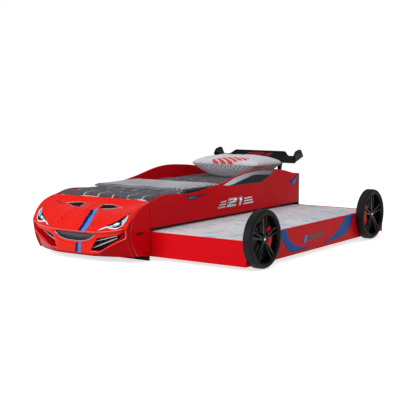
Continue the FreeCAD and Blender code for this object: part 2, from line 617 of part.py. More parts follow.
# ---- spoiler --------------------------------------------------------------------------------
def make_spoiler():
    """Curved wing on two struts, with a plate at each end."""
    half_span = HALF - WING_INSET
    span = 2 * half_span
    (top_half, _), (shoulder_half, _), (strut_x, _) = widened([(WING_TOP_HALF, 0), (WING_SHOULDER_HALF, 0), (STRUT_X, 0)])
    outline = [(-half_span, WING_BOTTOM), (half_span, WING_BOTTOM), (half_span, WING_SHOULDER),
               (shoulder_half, WING_SHOULDER), (top_half, WING_TOP), (-top_half, WING_TOP),
               (-shoulder_half, WING_SHOULDER), (-half_span, WING_SHOULDER)]
    front_view = polygon("xz", outline, WING_FRONT - 40, WING_FRONT + WING_CHORD + 60)

    def blade_edge(shift):
        start = place("yz", WING_FRONT + shift, WING_BOTTOM)
        end = place("yz", WING_FRONT + WING_CHORD + shift, WING_TOP)
        lean = math.hypot(WING_CHORD, WING_TOP - WING_BOTTOM)
        middle = (start + end) * 0.5
        out = vec(0, WING_TOP - WING_BOTTOM, -WING_CHORD) * (WING_HOLLOW / lean)
        return start, middle + out, end
    front_line, back_line = blade_edge(0.0), blade_edge(WING_THICK)
    blade = prism([Part.Arc(*front_line).toShape(), Part.makeLine(front_line[2], back_line[2]),
                   Part.Arc(*reversed(back_line)).toShape(), Part.makeLine(back_line[0], front_line[0])],
                  "yz", span)
    blade.translate(vec(-half_span, 0, 0))
    wing = blade.common(front_view)

    plate = polygon("yz", END_PLATE_SIDE, half_span, half_span + END_PLATE)

    back = REAR_BOARD
    under = WING_BOTTOM + 22.0
    strut_line = [(back, REAR_HEIGHT - STRUT_FOOT_DROP), (back + STRUT_FOOT, REAR_HEIGHT - STRUT_FOOT_DROP),
                  (back + STRUT_FOOT, REAR_HEIGHT), (back + STRUT_FOOT + 34, under + 30),
                  (WING_FRONT + WING_THICK, WING_BOTTOM - 8), (back, REAR_HEIGHT)]
    strut = polygon("yz", strut_line, strut_x - STRUT_WIDTH / 2, strut_x + STRUT_WIDTH / 2)
    wing_body = prism([Part.Arc(*front_line).toShape(), Part.makeLine(front_line[2], front_line[2] + vec(0, -200, 0)),
                       Part.makeLine(front_line[2] + vec(0, -200, 0), front_line[0] + vec(0, -200, 0)),
                       Part.makeLine(front_line[0] + vec(0, -200, 0), front_line[0])], "yz", span)
    wing_body.translate(vec(-half_span, 0, 0))
    strut = strut.cut([blade, wing_body])
    return {
        "spoiler_wing": wing,
        "spoiler_end_plates": both_sides(plate),
        "spoiler_struts": both_sides(strut),
    }


# ---- wheel covers ------------------------------------------------------------------------------
def ring_solid(profile):
    """Turns a closed outline of (x, radius) about the X axis."""
    corners = [vec(x, 0, r) for x, r in profile]
    face = Part.Face(Part.makePolygon(corners + corners[:1]))
    return face.revolve(vec(0, 0, 0), vec(1, 0, 0), 360)


def tyre():
    """Moulded tyre with rounded shoulders, hollow from behind, round a closed back plate."""
    w, face = WHEEL_WALL, WHEEL_DEPTH
    soft = SHOULDER_R * 0.3
    outline = [(0, 0), (0, WHEEL_R), (face - SHOULDER_R, WHEEL_R), (face - soft, WHEEL_R - soft),
               (face, WHEEL_R - SHOULDER_R), (face - 2, RIM_R + 3), (face - 6, RIM_R), (w * 2, RIM_R), (w * 2, 0)]
    hollow = [(-1, RIM_R + w), (-1, WHEEL_R - w), (face - SHOULDER_R, WHEEL_R - w), (face - w, WHEEL_R - SHOULDER_R),
              (face - w - 2, RIM_R + w)]
    return ring_solid(outline).cut(ring_solid(hollow))


def rim():
    """Dished rim with paired spokes."""
    front = WHEEL_DEPTH - RIM_INSET
    back = front - RIM_DEPTH
    ring = ring_solid([(back, RIM_R - CLEAR), (front, RIM_R - CLEAR), (front, RIM_R - 3),
                       (back, RIM_R - RIM_RING)])
    hub_front = front - 8
    hub = ring_solid([(hub_front - SPOKE_DEPTH - 10, 0), (hub_front, 0), (hub_front, HUB_R * 0.7),
                      (hub_front - 3, HUB_R), (hub_front - SPOKE_DEPTH - 10, HUB_R)])
    spokes = []
    reach = RIM_R - 2.4
    for pair in range(SPOKE_PAIRS):
        for side in (-1, 1):
            centre = math.radians(90 + pair * 360 / SPOKE_PAIRS)
            tip = centre + side * math.radians(SPOKE_SPREAD)
            root = centre + side * math.radians(SPOKE_SPREAD * 0.6)
            inner = (HUB_R * 0.8 * math.cos(root), HUB_R * 0.8 * math.sin(root))
            outer = (reach * math.cos(tip), reach * math.sin(tip))
            length = math.hypot(outer[0] - inner[0], outer[1] - inner[1])
            across = ((outer[1] - inner[1]) / length, -(outer[0] - inner[0]) / length)
            wires = []
            for (y, z), width, x_front in ((inner, SPOKE_ROOT, hub_front - 1), (outer, SPOKE_TIP, front - 2)):
                half = width / 2
                corners = [vec(x_front, y + across[0] * half * 0.55, z + across[1] * half * 0.55),
                           vec(x_front - SPOKE_DEPTH, y + across[0] * half, z + across[1] * half),
                           vec(x_front - SPOKE_DEPTH, y - across[0] * half, z - across[1] * half),
                           vec(x_front, y - across[0] * half * 0.55, z - across[1] * half * 0.55)]
                wires.append(Part.makePolygon(corners + corners[:1]))
            spokes.append(Part.makeLoft(wires, True, True))
    return ring.fuse([hub] + spokes).removeSplitter()


def caliper():
    """Brake caliper behind the spokes, on the side of the hub towards the head end."""
    start = WHEEL_WALL * 2
    segment = Part.makeCylinder(CALIPER_OUTER, CALIPER_DEPTH, vec(start, 0, 0), vec(1, 0, 0), CALIPER_SWEEP)
    bore = cylinder(CALIPER_INNER, CALIPER_DEPTH, vec(start, 0, 0), vec(1, 0, 0))
    piece = segment.cut(bore).Solids[0]
    middle = piece.CenterOfMass
    angle = math.degrees(math.atan2(middle.z, middle.y))
    piece.rotate(vec(0, 0, 0), vec(1, 0, 0), -angle)
    return piece


def hub_cap():
    front = WHEEL_DEPTH - RIM_INSET - 8
    return ring_solid([(front, 0), (front, HUB_CAP_R), (front + HUB_CAP_DEPTH * 0.6, HUB_CAP_R * 0.8),
                       (front + HUB_CAP_DEPTH, HUB_CAP_R * 0.4), (front + HUB_CAP_DEPTH, 0)])


def make_wheels():
    """Four wheel covers: two on the trundle's side panel and two on the far side panel."""
    pieces = {"tyre": tyre(), "rim": rim(), "caliper": caliper()}
    cap = hub_cap()
    nodes = {}
    caps = []
    for place_name, ahead in (("front", WHEEL_FRONT), ("rear", WHEEL_REAR)):
        for kind, shape in pieces.items():
            moved = shape.copy()
            if kind == "caliper" and place_name == "rear":      # all calipers face the middle of the bed
                moved.rotate(vec(0, 0, 0), vec(1, 0, 0), 180)
            moved.translate(vec(0, -ahead, WHEEL_Z))
            trundle_piece = moved.copy()
            trundle_piece.translate(vec(T_FACE + TRUNDLE_PULL, 0, 0))
            nodes["near_%s_%s" % (place_name, kind)] = trundle_piece
            body_piece = moved.copy()
            body_piece.translate(vec(HALF, 0, 0))
            nodes["far_%s_%s" % (place_name, kind)] = mirrored(body_piece)
        moved = cap.copy()
        moved.translate(vec(0, -ahead, WHEEL_Z))
        caps.append(moved)
    for side, x in (("near", T_FACE + TRUNDLE_PULL), ("far", HALF)):
        group = Part.makeCompound([c.copy() for c in caps])
        group.translate(vec(x, 0, 0))
        nodes[side + "_hub_caps"] = group if side == "near" else mirrored(group)
    return nodes


# ---- trundle -------------------------------------------------------------------------------------
def caster_places():
    xs = [T_FAR + CASTER_FROM_SIDES, T_INSIDE - CASTER_FROM_SIDES]
    ys = [T_FRONT + CASTER_FROM_ENDS, T_REAR - CASTER_FROM_ENDS]
    return [(side, end, x, y) for side, x in zip(("inner", "outer"), xs) for end, y in zip(("front", "rear"), ys)]


def caster_fork(x, y):
    gap = CASTER_WIDTH / 2 + 1.0
    plate = box(x - 30, x + 30, y - gap - 14, y + gap + 14, CASTER_TOP - CASTER_CHEEK, CASTER_TOP)
    cheeks = []
    for side in (-1, 1):
        y0 = y + side * gap if side > 0 else y - gap - CASTER_CHEEK
        outline = [(x - 20, CASTER_TOP - CASTER_CHEEK), (x + 20, CASTER_TOP - CASTER_CHEEK),
                   (x + 8, CASTER_R - 8), (x - 8, CASTER_R - 8)]
        cheeks.append(polygon("xz", outline, y0, y0 + CASTER_CHEEK))
    hole = cylinder(CASTER_AXLE_R, 2 * (gap + CASTER_CHEEK), vec(x, y - gap - CASTER_CHEEK, CASTER_R), vec(0, 1, 0))
    return plate.fuse(cheeks).cut(hole)


def caster_axle(x, y):
    half = CASTER_WIDTH / 2 + 1.0 + CASTER_CHEEK
    pin = cylinder(CASTER_AXLE_R, 2 * half, vec(x, y - half, CASTER_R), vec(0, 1, 0))
    head = cylinder(CASTER_AXLE_R + 2, 2, vec(x, y + half, CASTER_R), vec(0, 1, 0))
    rivet = cylinder(CASTER_AXLE_R + 1.5, 1.5, vec(x, y - half - 1.5, CASTER_R), vec(0, 1, 0))
    return pin.fuse([head, rivet])


def caster_wheel(x, y):
    half = CASTER_WIDTH / 2
    bevel = 2.0
    bore = CASTER_AXLE_R + CASTER_BORE_PLAY
    outline = [(-half, bore), (-half, CASTER_R - bevel), (-half + bevel, CASTER_R), (half - bevel, CASTER_R),
               (half, CASTER_R - bevel), (half, bore)]
    corners = [vec(0, a, r) for a, r in outline]
    wheel = Part.Face(Part.makePolygon(corners + corners[:1])).revolve(vec(0, 0, 0), vec(0, 1, 0), 360)
    wheel.translate(vec(x, y, CASTER_R))
    return wheel


def make_trundle():
    side = softened(box(T_INSIDE, T_FACE, T_FRONT, TRUNDLE_SIDE_REAR, TRUNDLE_BOTTOM, TRUNDLE_SIDE_TOP),
                    lambda edge: edge.BoundBox.XMin > T_FACE - 1.0 or edge.BoundBox.ZMin > TRUNDLE_SIDE_TOP - 1.0)
    front = softened(box(T_FAR, T_INSIDE, T_FRONT, T_FRONT + PANEL, TRUNDLE_BOTTOM, TRUNDLE_END_TOP),
                     lambda edge: edge.BoundBox.ZMin > TRUNDLE_END_TOP - 1.0 and edge.BoundBox.XLength > 100.0)
    rear = softened(box(T_FAR, T_INSIDE, T_REAR - PANEL, T_REAR, TRUNDLE_BOTTOM, TRUNDLE_END_TOP),
                    lambda edge: edge.BoundBox.ZMin > TRUNDLE_END_TOP - 1.0 and edge.BoundBox.XLength > 100.0)
    y0, y1 = T_FRONT + PANEL, T_REAR - PANEL
    inner = box(T_FAR, T_FAR + PANEL, y0, y1, TRUNDLE_BOTTOM, TRUNDLE_INNER_TOP)
    x0, x1 = T_FAR + PANEL, T_INSIDE
    ledges = [box(x0, x0 + LEDGE_WIDTH, y0, y1, CASTER_TOP, LEDGE_TOP),
              box(x1 - LEDGE_WIDTH, x1, y0, y1, CASTER_TOP, LEDGE_TOP)]
    bearer_ys = sorted(set(y for _, _, _, y in caster_places()))
    bearers = [box(x0 + LEDGE_WIDTH, x1 - LEDGE_WIDTH, y - BEARER_WIDTH / 2, y + BEARER_WIDTH / 2,
                   CASTER_TOP, LEDGE_TOP) for y in bearer_ys]
    slats = slat_row(TRUNDLE_SLATS, SLAT_WIDTH, TRUNDLE_SLAT_THICK, x0 + 1, x1 - 1, y0 + 4, y1 - 4, T_SLAT_TOP)
    bottom = T_SLAT_TOP + CLEAR
    top = TRIM_BOTTOM - TRUNDLE_HEADROOM
    mattress = soft_block(x0 + TRUNDLE_PLAY, x1 - TRUNDLE_PLAY, y0 + TRUNDLE_PLAY, y1 - TRUNDLE_PLAY,
                          bottom, top, TRUNDLE_ROUND)
    nodes = {
        "trundle_side_panel": side,
        "trundle_front_panel": front,
        "trundle_rear_panel": rear,
        "trundle_inner_rail": inner,
        "trundle_ledges": Part.makeCompound(ledges),
        "trundle_bearers": Part.makeCompound(bearers),
        "trundle_slats": slats,
        "trundle_mattress": mattress,
        "caster_forks": Part.makeCompound([caster_fork(x, y) for _, _, x, y in caster_places()]),
        "caster_axles": Part.makeCompound([caster_axle(x, y) for _, _, x, y in caster_places()]),
    }
    for side_name, end_name, x, y in caster_places():
        nodes["caster_wheel_%s_%s" % (side_name, end_name)] = caster_wheel(x, y)
    for shape in nodes.values():
        shape.translate(vec(TRUNDLE_PULL, 0, 0))
    return nodes


def middle_of_footprint(shapes):
    """Middle, on the floor, of the box that all the pieces stand in."""
    boxes = [shape.optimalBoundingBox(False) for shape in shapes]
    x = (min(b.XMin for b in boxes) + max(b.XMax for b in boxes)) / 2
    y = (min(b.YMin for b in boxes) + max(b.YMax for b in boxes)) / 2
    return vec(x, y, 0)


def main():
    nodes = {}
    for make in (make_panels, make_front, make_deck, make_spoiler, make_wheels, make_trundle):
        nodes.update(make())
    centre = middle_of_footprint(nodes.values())
    os.makedirs("parts", exist_ok=True)
    for name, shape in nodes.items():
        shape.translate(centre * -1)
        shape.exportStep(os.path.join("parts", name + ".step"))
        print(name, "solids", len(shape.Solids), "volume cm3", round(shape.Volume / 1000, 1), shape.isValid())
    print("origin in bed coordinates", round(centre.x, 3), round(centre.y, 3))


main()
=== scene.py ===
import math
import random

import bmesh
import bpy
import numpy as np
from mathutils import Matrix, Vector, noise


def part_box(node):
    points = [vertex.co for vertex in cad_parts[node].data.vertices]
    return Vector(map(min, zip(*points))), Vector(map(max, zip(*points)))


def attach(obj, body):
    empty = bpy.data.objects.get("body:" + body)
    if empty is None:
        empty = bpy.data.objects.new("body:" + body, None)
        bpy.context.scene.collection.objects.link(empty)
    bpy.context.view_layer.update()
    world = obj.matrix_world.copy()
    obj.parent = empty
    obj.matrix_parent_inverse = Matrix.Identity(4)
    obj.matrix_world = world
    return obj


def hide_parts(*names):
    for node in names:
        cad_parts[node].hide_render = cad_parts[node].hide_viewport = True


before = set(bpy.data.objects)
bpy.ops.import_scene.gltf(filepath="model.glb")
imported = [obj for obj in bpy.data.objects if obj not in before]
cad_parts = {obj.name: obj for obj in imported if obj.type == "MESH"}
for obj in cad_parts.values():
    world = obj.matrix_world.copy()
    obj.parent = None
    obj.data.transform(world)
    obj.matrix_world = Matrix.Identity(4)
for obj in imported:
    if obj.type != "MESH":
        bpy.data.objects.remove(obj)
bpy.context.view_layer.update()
BED, TRUNDLE = "bed", "trundle"

# Places are given in millimetres from the middle of the bed, from the rear edge of its
# side panels (the hood points to -Y) and from the floor.
board_low, board_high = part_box("rear_board")
MIDDLE_X = (board_low.x + board_high.x) / 2
REAR_Y = board_low.y
HALF = (board_high.x - board_low.x) * 500
SEAM = (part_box("far_side_panel")[0].y - REAR_Y) * 1000
TRUNDLE_FACE = (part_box("trundle_side_panel")[1].x - MIDDLE_X) * 1000


def at(x, y, z):
    """A place given in millimetres of the bed, in metres of the frame."""
    return Vector((MIDDLE_X + x / 1000, REAR_Y + y / 1000, z / 1000))


def span(node):
    """Lowest and highest corner of a CAD node in the millimetres used here."""
    low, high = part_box(node)
    start = at(0, 0, 0)
    return [(v - s) * 1000 for v, s in zip(low, start)], [(v - s) * 1000 for v, s in zip(high, start)]


# ---- camera, light and floor ------------------------------------------------
PHOTO_SIDE = 416
SENSOR_WIDTH = 36
FOCAL_LENGTH = 963.17               # these two in pixels of the photo
IMAGE_CENTRE = (231.789, 206.929)
CAMERA_PLACE = (4379.41, -6831.02, 1095.54)
CAMERA_AZIMUTH, CAMERA_ELEVATION = 33.987, 6.726


def place_camera():
    """The camera of the photo, solved from the straight edges of the bed."""
    azimuth, elevation = math.radians(CAMERA_AZIMUTH), math.radians(CAMERA_ELEVATION)
    right = Vector((math.cos(azimuth), math.sin(azimuth), 0))
    back = Vector((math.sin(azimuth) * math.cos(elevation), -math.cos(azimuth) * math.cos(elevation),
                   math.sin(elevation)))
    turn = Matrix((right, back.cross(right), back)).transposed().to_4x4()
    camera = bpy.data.objects.new("camera", bpy.data.cameras.new("camera"))
    camera.data.sensor_width = SENSOR_WIDTH
    camera.data.lens = FOCAL_LENGTH / PHOTO_SIDE * SENSOR_WIDTH
    camera.data.shift_x = (PHOTO_SIDE / 2 - IMAGE_CENTRE[0]) / PHOTO_SIDE
    camera.data.shift_y = (IMAGE_CENTRE[1] - PHOTO_SIDE / 2) / PHOTO_SIDE
    camera.data.clip_end = 60
    camera.matrix_world = Matrix.Translation(at(*CAMERA_PLACE)) @ turn
    bpy.context.scene.collection.objects.link(camera)
    bpy.context.scene.camera = camera


def soft_lamp(name, spot, target, size, power):
    """An oblong studio lamp that points at a target."""
    lamp = bpy.data.lights.new(name, "AREA")
    lamp.shape = "RECTANGLE"
    lamp.size, lamp.size_y = size
    lamp.energy = power
    holder = bpy.data.objects.new(name, lamp)
    holder.location = spot
    holder.rotation_euler = (Vector(target) - Vector(spot)).to_track_quat("-Z", "Y").to_euler()
    bpy.context.scene.collection.objects.link(holder)


def seen_directly(tree):
    """1 for what the camera, a mirror or glass sees straight, 0 for light on other things."""
    path = tree.nodes.new("ShaderNodeLightPath")
    first = tree.nodes.new("ShaderNodeMath")
    first.operation = "MAXIMUM"
    second = tree.nodes.new("ShaderNodeMath")
    second.operation = "MAXIMUM"
    tree.links.new(path.outputs["Is Camera Ray"], first.inputs[0])
    tree.links.new(path.outputs["Is Glossy Ray"], first.inputs[1])
    tree.links.new(first.outputs[0], second.inputs[0])
    tree.links.new(path.outputs["Is Transmission Ray"], second.inputs[1])
    return second.outputs[0]


def light_studio():
    """White surroundings and three soft lamps."""
    scene = bpy.context.scene
    scene.view_settings.view_transform = "Standard"
    world = bpy.data.worlds.new("studio")
    scene.world = world
    world.use_nodes = True
    tree = world.node_tree
    back = tree.nodes["Background"]
    back.inputs["Color"].default_value = (1, 1, 1, 1)
    level = tree.nodes.new("ShaderNodeMapRange")
    level.inputs["To Min"].default_value = 0.34
    level.inputs["To Max"].default_value = 1.0
    path = tree.nodes.new("ShaderNodeLightPath")
    tree.links.new(path.outputs["Is Camera Ray"], level.inputs["Value"])
    tree.links.new(level.outputs["Result"], back.inputs["Strength"])
    soft_lamp("front_key", (-1.2, -5.2, 2.6), (0, 0, 0.3), (3.2, 2.0), 150)
    soft_lamp("top_fill", (0.4, 0.2, 4.2), (0, 0, 0.2), (3.5, 3.5), 62)
    soft_lamp("side_strip", (5.2, 0.6, 1.5), (0.4, 0, 0.2), (3.0, 0.6), 8)


def lay_floor():
    """Pale floor that looks white and keeps the bed's shadow."""
    bpy.ops.mesh.primitive_plane_add(size=40, location=(0, 0, -0.0005))
    floor = bpy.context.object
    floor.name = "studio_floor"
    material = bpy.data.materials.new("studio_floor")
    material.use_nodes = True
    tree = material.node_tree
    shader = tree.nodes["Principled BSDF"]
    shader.inputs["Base Color"].default_value = (0.82, 0.82, 0.82, 1)
    shader.inputs["Roughness"].default_value = 0.9
    shader.inputs["Specular IOR Level"].default_value = 0.1
    lift = tree.nodes.new("ShaderNodeMapRange")
    lift.inputs["To Max"].default_value = 0.72
    tree.links.new(seen_directly(tree), lift.inputs["Value"])
    shader.inputs["Emission Color"].default_value = (1, 1, 1, 1)
    tree.links.new(lift.outputs["Result"], shader.inputs["Emission Strength"])
    floor.data.materials.append(material)


# ---- finishes ------------------------------------------------
def tone(red, green, blue):
    """A colour given as it looks, 0 to 255, as the renderer's own."""
    def linear(value):
        value /= 255
        return value / 12.92 if value <= 0.04045 else ((value + 0.055) / 1.055) ** 2.4
    return (linear(red), linear(green), linear(blue), 1.0)


class Finish:
    """One material, drawn with nodes on the object's own coordinates."""

    def __init__(self, name, colour, roughness, metallic=0.0):
        self.material = bpy.data.materials.new(name)
        self.material.use_nodes = True
        self.tree = self.material.node_tree
        self.shader = self.tree.nodes["Principled BSDF"]
        self.place = self.tree.nodes.new("ShaderNodeTexCoord").outputs["Object"]
        self.shader.inputs["Base Color"].default_value = colour
        self.shader.inputs["Roughness"].default_value = roughness
        self.shader.inputs["Metallic"].default_value = metallic
        self.material.diffuse_color = colour

    def set(self, **values):
        for name, value in values.items():
            self.shader.inputs[name.replace("_", " ")].default_value = value
        return self

    def node(self, kind, inputs=(), **settings):
        made = self.tree.nodes.new(kind)
        for name, value in settings.items():
            setattr(made, name, value)
        for name, value in dict(inputs).items():
            if isinstance(value, bpy.types.NodeSocket):
                self.tree.links.new(value, made.inputs[name])
            else:
                made.inputs[name].default_value = value
        return made

    def math(self, operation, a, b=0.0, c=0.0):
        return self.node("ShaderNodeMath", {0: a, 1: b, 2: c}, operation=operation).outputs[0]

    def times(self, a, b):
        return self.math("MULTIPLY", a, b)

    def axes(self, place):
        """X, Y and Z of a place."""
        return self.node("ShaderNodeSeparateXYZ", {0: place}).outputs

    def cloth_place(self):
        """Place on the flat cloth, in metres."""
        return self.node("ShaderNodeUVMap", uv_map="cloth").outputs["UV"]

    def spread(self, shift=(0, 0, 0), scale=(1, 1, 1), turn=(0, 0, 0), source=None):
        return self.node("ShaderNodeMapping", {"Vector": source or self.place, "Location": shift,
                                               "Scale": scale, "Rotation": turn}).outputs[0]

    def noise(self, scale, detail=3.0, roughness=0.5, source=None):
        return self.node("ShaderNodeTexNoise",
                         {"Vector": source or self.place, "Scale": scale, "Detail": detail,
                                                "Roughness": roughness}).outputs["Fac"]

    def ramp(self, value, stops):
        """Colours or levels at given values, blended between them."""
        made = self.node("ShaderNodeValToRGB", {"Fac": value})
        while len(made.color_ramp.elements) < len(stops):
            made.color_ramp.elements.new(0.5)
        for element, (position, colour) in zip(made.color_ramp.elements, stops):
            element.position = position
            element.color = colour if isinstance(colour, tuple) else (colour, colour, colour, 1)
        return made.outputs["Color"]

    def blend(self, share, first, second):
        made = self.node("ShaderNodeMix", data_type="RGBA")
        for index, value in ((0, share), (6, first), (7, second)):
            if isinstance(value, bpy.types.NodeSocket):
                self.tree.links.new(value, made.inputs[index])
            else:
                made.inputs[index].default_value = value
        return made.outputs[2]

    def paint(self, colour):
        self.tree.links.new(colour, self.shader.inputs["Base Color"])
        return self

    def polish(self, level):
        self.tree.links.new(level, self.shader.inputs["Roughness"])
        return self

    def relief(self, height, depth, strength=1.0):
        made = self.node("ShaderNodeBump", {"Height": height, "Strength": strength, "Distance": depth})
        self.tree.links.new(made.outputs["Normal"], self.shader.inputs["Normal"])
        return self


def lacquer(name, colour, deep, roughness=0.24, coat=0.06, shine=0.1):
    """Glossy paint with a faint orange-peel surface, and duller where dust and hands have been."""
    made = Finish(name, colour, roughness).set(Coat_Weight=coat, Coat_Roughness=0.05,
                                               Specular_IOR_Level=shine)
    made.paint(made.blend(made.noise(2.2, 4.0), colour, deep))
    made.polish(made.ramp(made.noise(7.0, 6.0, 0.6), [(0.3, roughness - 0.05), (0.75, roughness + 0.12)]))
    return made.relief(made.noise(180.0, 2.0), 0.00012, 0.35).material


def moulded(name, colour, roughness, grain=420.0, depth=0.00016, coat=0.0, shine=0.25):
    """Moulded plastic with a fine grain and slight scuffs."""
    made = Finish(name, colour, roughness).set(Coat_Weight=coat, Coat_Roughness=0.1, Specular_IOR_Level=shine)
    scuffs = made.noise(11.0, 8.0, 0.7)
    lighter = tuple(min(1.0, c * 1.35 + 0.002) for c in colour[:3]) + (1.0,)
    made.paint(made.blend(made.ramp(scuffs, [(0.55, 0.0), (0.8, 0.5)]), colour, lighter))
    made.polish(made.ramp(scuffs, [(0.3, roughness), (0.8, min(1.0, roughness + 0.2))]))
    return made.relief(made.noise(grain, 2.0), depth, 0.5).material


def metal(name, colour, roughness):
    """Bare or painted metal, a little duller in patches."""
    made = Finish(name, colour, roughness, 1.0)
    patches = made.noise(60.0, 4.0, 0.6)
    made.polish(made.ramp(patches, [(0.3, max(0.03, roughness - 0.08)), (0.7, roughness + 0.12)]))
    return made.relief(patches, 0.0001, 0.25).material


def pine(name):
    """Sanded pine with long grain across the bed."""
    made = Finish(name, tone(214, 176, 124), 0.55)
    along = made.spread(scale=(1.2, 16, 16))
    rings = made.noise(5.0, 7.0, 0.62, along)
    made.paint(made.ramp(rings, [(0.30, tone(168, 122, 74)), (0.48, tone(214, 172, 118)),
                                 (0.62, tone(228, 194, 144)), (0.8, tone(190, 146, 94))]))
    return made.relief(rings, 0.0004, 0.4).material


def weave(made, threads):
    """Height of a plain weave with that many threads in a metre."""
    waves = []
    for direction in ("X", "Y"):
        waves.append(made.node("ShaderNodeTexWave",
                               {"Vector": made.place, "Scale": threads / 20.0, "Distortion": 0.6,
                                                     "Detail": 1.0, "Detail Scale": 3.0},
                               wave_type="BANDS", bands_direction=direction).outputs["Fac"])
    return made.times(made.math("ADD", waves[0], waves[1]), 0.5)


# ---- building pieces ------------------------------------------------
def add_piece(name, points, faces, material, body, smooth=True, sharp=None):
    """A mesh piece from points in millimetres, riding on a body."""
    mesh = bpy.data.meshes.new(name)
    mesh.from_pydata([at(*p) for p in points], [], [tuple(f) for f in faces])
    mesh.validate()
    made = bpy.data.objects.new(name, mesh)
    bpy.context.scene.collection.objects.link(made)
    mesh.materials.append(material)
    mesh.polygons.foreach_set("use_smooth", [smooth] * len(mesh.polygons))
    if sharp:
        mesh.set_sharp_from_angle(angle=math.radians(sharp))
    mesh.update()
    made["rides_on"] = body
    return made


def settle(made):
    """Turns a piece with modifiers into a plain mesh of the same name."""
    shape = bpy.data.meshes.new_from_object(made.evaluated_get(bpy.context.evaluated_depsgraph_get()))
    made.modifiers.clear()
    made.data = shape
    return made


def thicken(made, thickness, offset=-1.0, even=True):
    """Gives a surface a wall, in millimetres."""
    wall = made.modifiers.new("wall", "SOLIDIFY")
    wall.thickness = thickness / 1000
    wall.offset = offset
    wall.use_even_offset = even
    return settle(made)


def round_edges(made, width, steps=2, angle=35):
    """Bevels the edges that are sharper than an angle, in millimetres."""
    soft = made.modifiers.new("edges", "BEVEL")
    soft.width = width / 1000
    soft.segments = steps
    soft.limit_method = "ANGLE"
    soft.angle_limit = math.radians(angle)
    soft.harden_normals = False
    settle(made)
    made.data.polygons.foreach_set("use_smooth", [True] * len(made.data.polygons))
    made.data.set_sharp_from_angle(angle=math.radians(50))
    return made


def facing_out(made):
    """Merges doubled points and turns every face outwards."""
    work = bmesh.new()
    work.from_mesh(made.data)
    bmesh.ops.remove_doubles(work, verts=work.verts, dist=1e-6)
    bmesh.ops.recalc_face_normals(work, faces=work.faces)
    work.to_mesh(made.data)
    work.free()
    return made


def ride(made, stands_for=()):
    """Puts a piece on its body, in place of the CAD nodes it stands for."""
    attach(made, made["rides_on"])
    if stands_for:
        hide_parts(*stands_for)
    return made


def ring_faces(rings, count, closed=False, ends=False):
    """Faces between rings of points that follow each other, with the first and last ring filled for ends."""
    faces = []
    for k in range(rings if closed else rings - 1):
        here, ahead = k * count, (k + 1) % rings * count
        faces += [(here + i, here + (i + 1) % count, ahead + (i + 1) % count, ahead + i)
                  for i in range(count)]
    if ends:
        faces += [tuple(reversed(range(count))), tuple(range((rings - 1) * count, rings * count))]
    return faces


def grid_faces(columns, rows):
    """Faces of an open grid whose points run along its columns."""
    return [(i * rows + j, (i + 1) * rows + j, (i + 1) * rows + j + 1, i * rows + j + 1)
            for i in range(columns - 1) for j in range(rows - 1)]


def grid_rim(columns, rows):
    """Numbers of the points round the edge of such a grid."""
    rim = [i * rows for i in range(columns)] + [(columns - 1) * rows + j for j in range(1, rows)]
    return rim + [i * rows + rows - 1 for i in range(columns - 2, -1, -1)] + list(range(rows - 2, 0, -1))


def join_pieces(name, pieces):
    """Several meshes as one piece."""
    work = bmesh.new()
    materials = []
    for item in pieces:
        start = len(work.faces)
        work.from_mesh(item.data)
        work.faces.ensure_lookup_table()
        if item.data.materials[0] not in materials:
            materials.append(item.data.materials[0])
        slot = materials.index(item.data.materials[0])
        for face in work.faces[start:]:
            face.material_index = slot
    mesh = bpy.data.meshes.new(name)
    work.to_mesh(mesh)
    work.free()
    for material in materials:
        mesh.materials.append(material)
    made = bpy.data.objects.new(name, mesh)
    bpy.context.scene.collection.objects.link(made)
    made["rides_on"] = pieces[0]["rides_on"]
    for item in pieces:
        bpy.data.objects.remove(item)
    return made


def curve_through(corners, steps=10, closed=True, sharp=()):
    """Points on a smooth line through the corners, with a kink at the corners numbered in sharp."""
    corners = [np.array(c, float) for c in corners]
    count = len(corners)
    result = []
    for index in range(count if closed else count - 1):
        a, b = corners[index], corners[(index + 1) % count]
        before = corners[index - 1] if (closed or index) else a
        after = corners[(index + 2) % count] if (closed or index < count - 2) else b
        slope_a = (b - a) if index in sharp else (b - before) / 2
        slope_b = (b - a) if (index + 1) % count in sharp else (after - a) / 2
        for t in np.linspace(0, 1, steps, endpoint=False):
            h1, h2 = 2 * t ** 3 - 3 * t ** 2 + 1, t ** 3 - 2 * t ** 2 + t
            h3, h4 = -2 * t ** 3 + 3 * t ** 2, t ** 3 - t ** 2
            result.append(tuple(h1 * a + h2 * slope_a + h3 * b + h4 * slope_b))
    if not closed:
        result.append(tuple(corners[-1]))
    return result


def signed_area(points):
    """Twice the area of a polygon, negative where it runs clockwise."""
    return sum(a[0] * b[1] - b[0] * a[1] for a, b in zip(points, points[1:] + points[:1]))


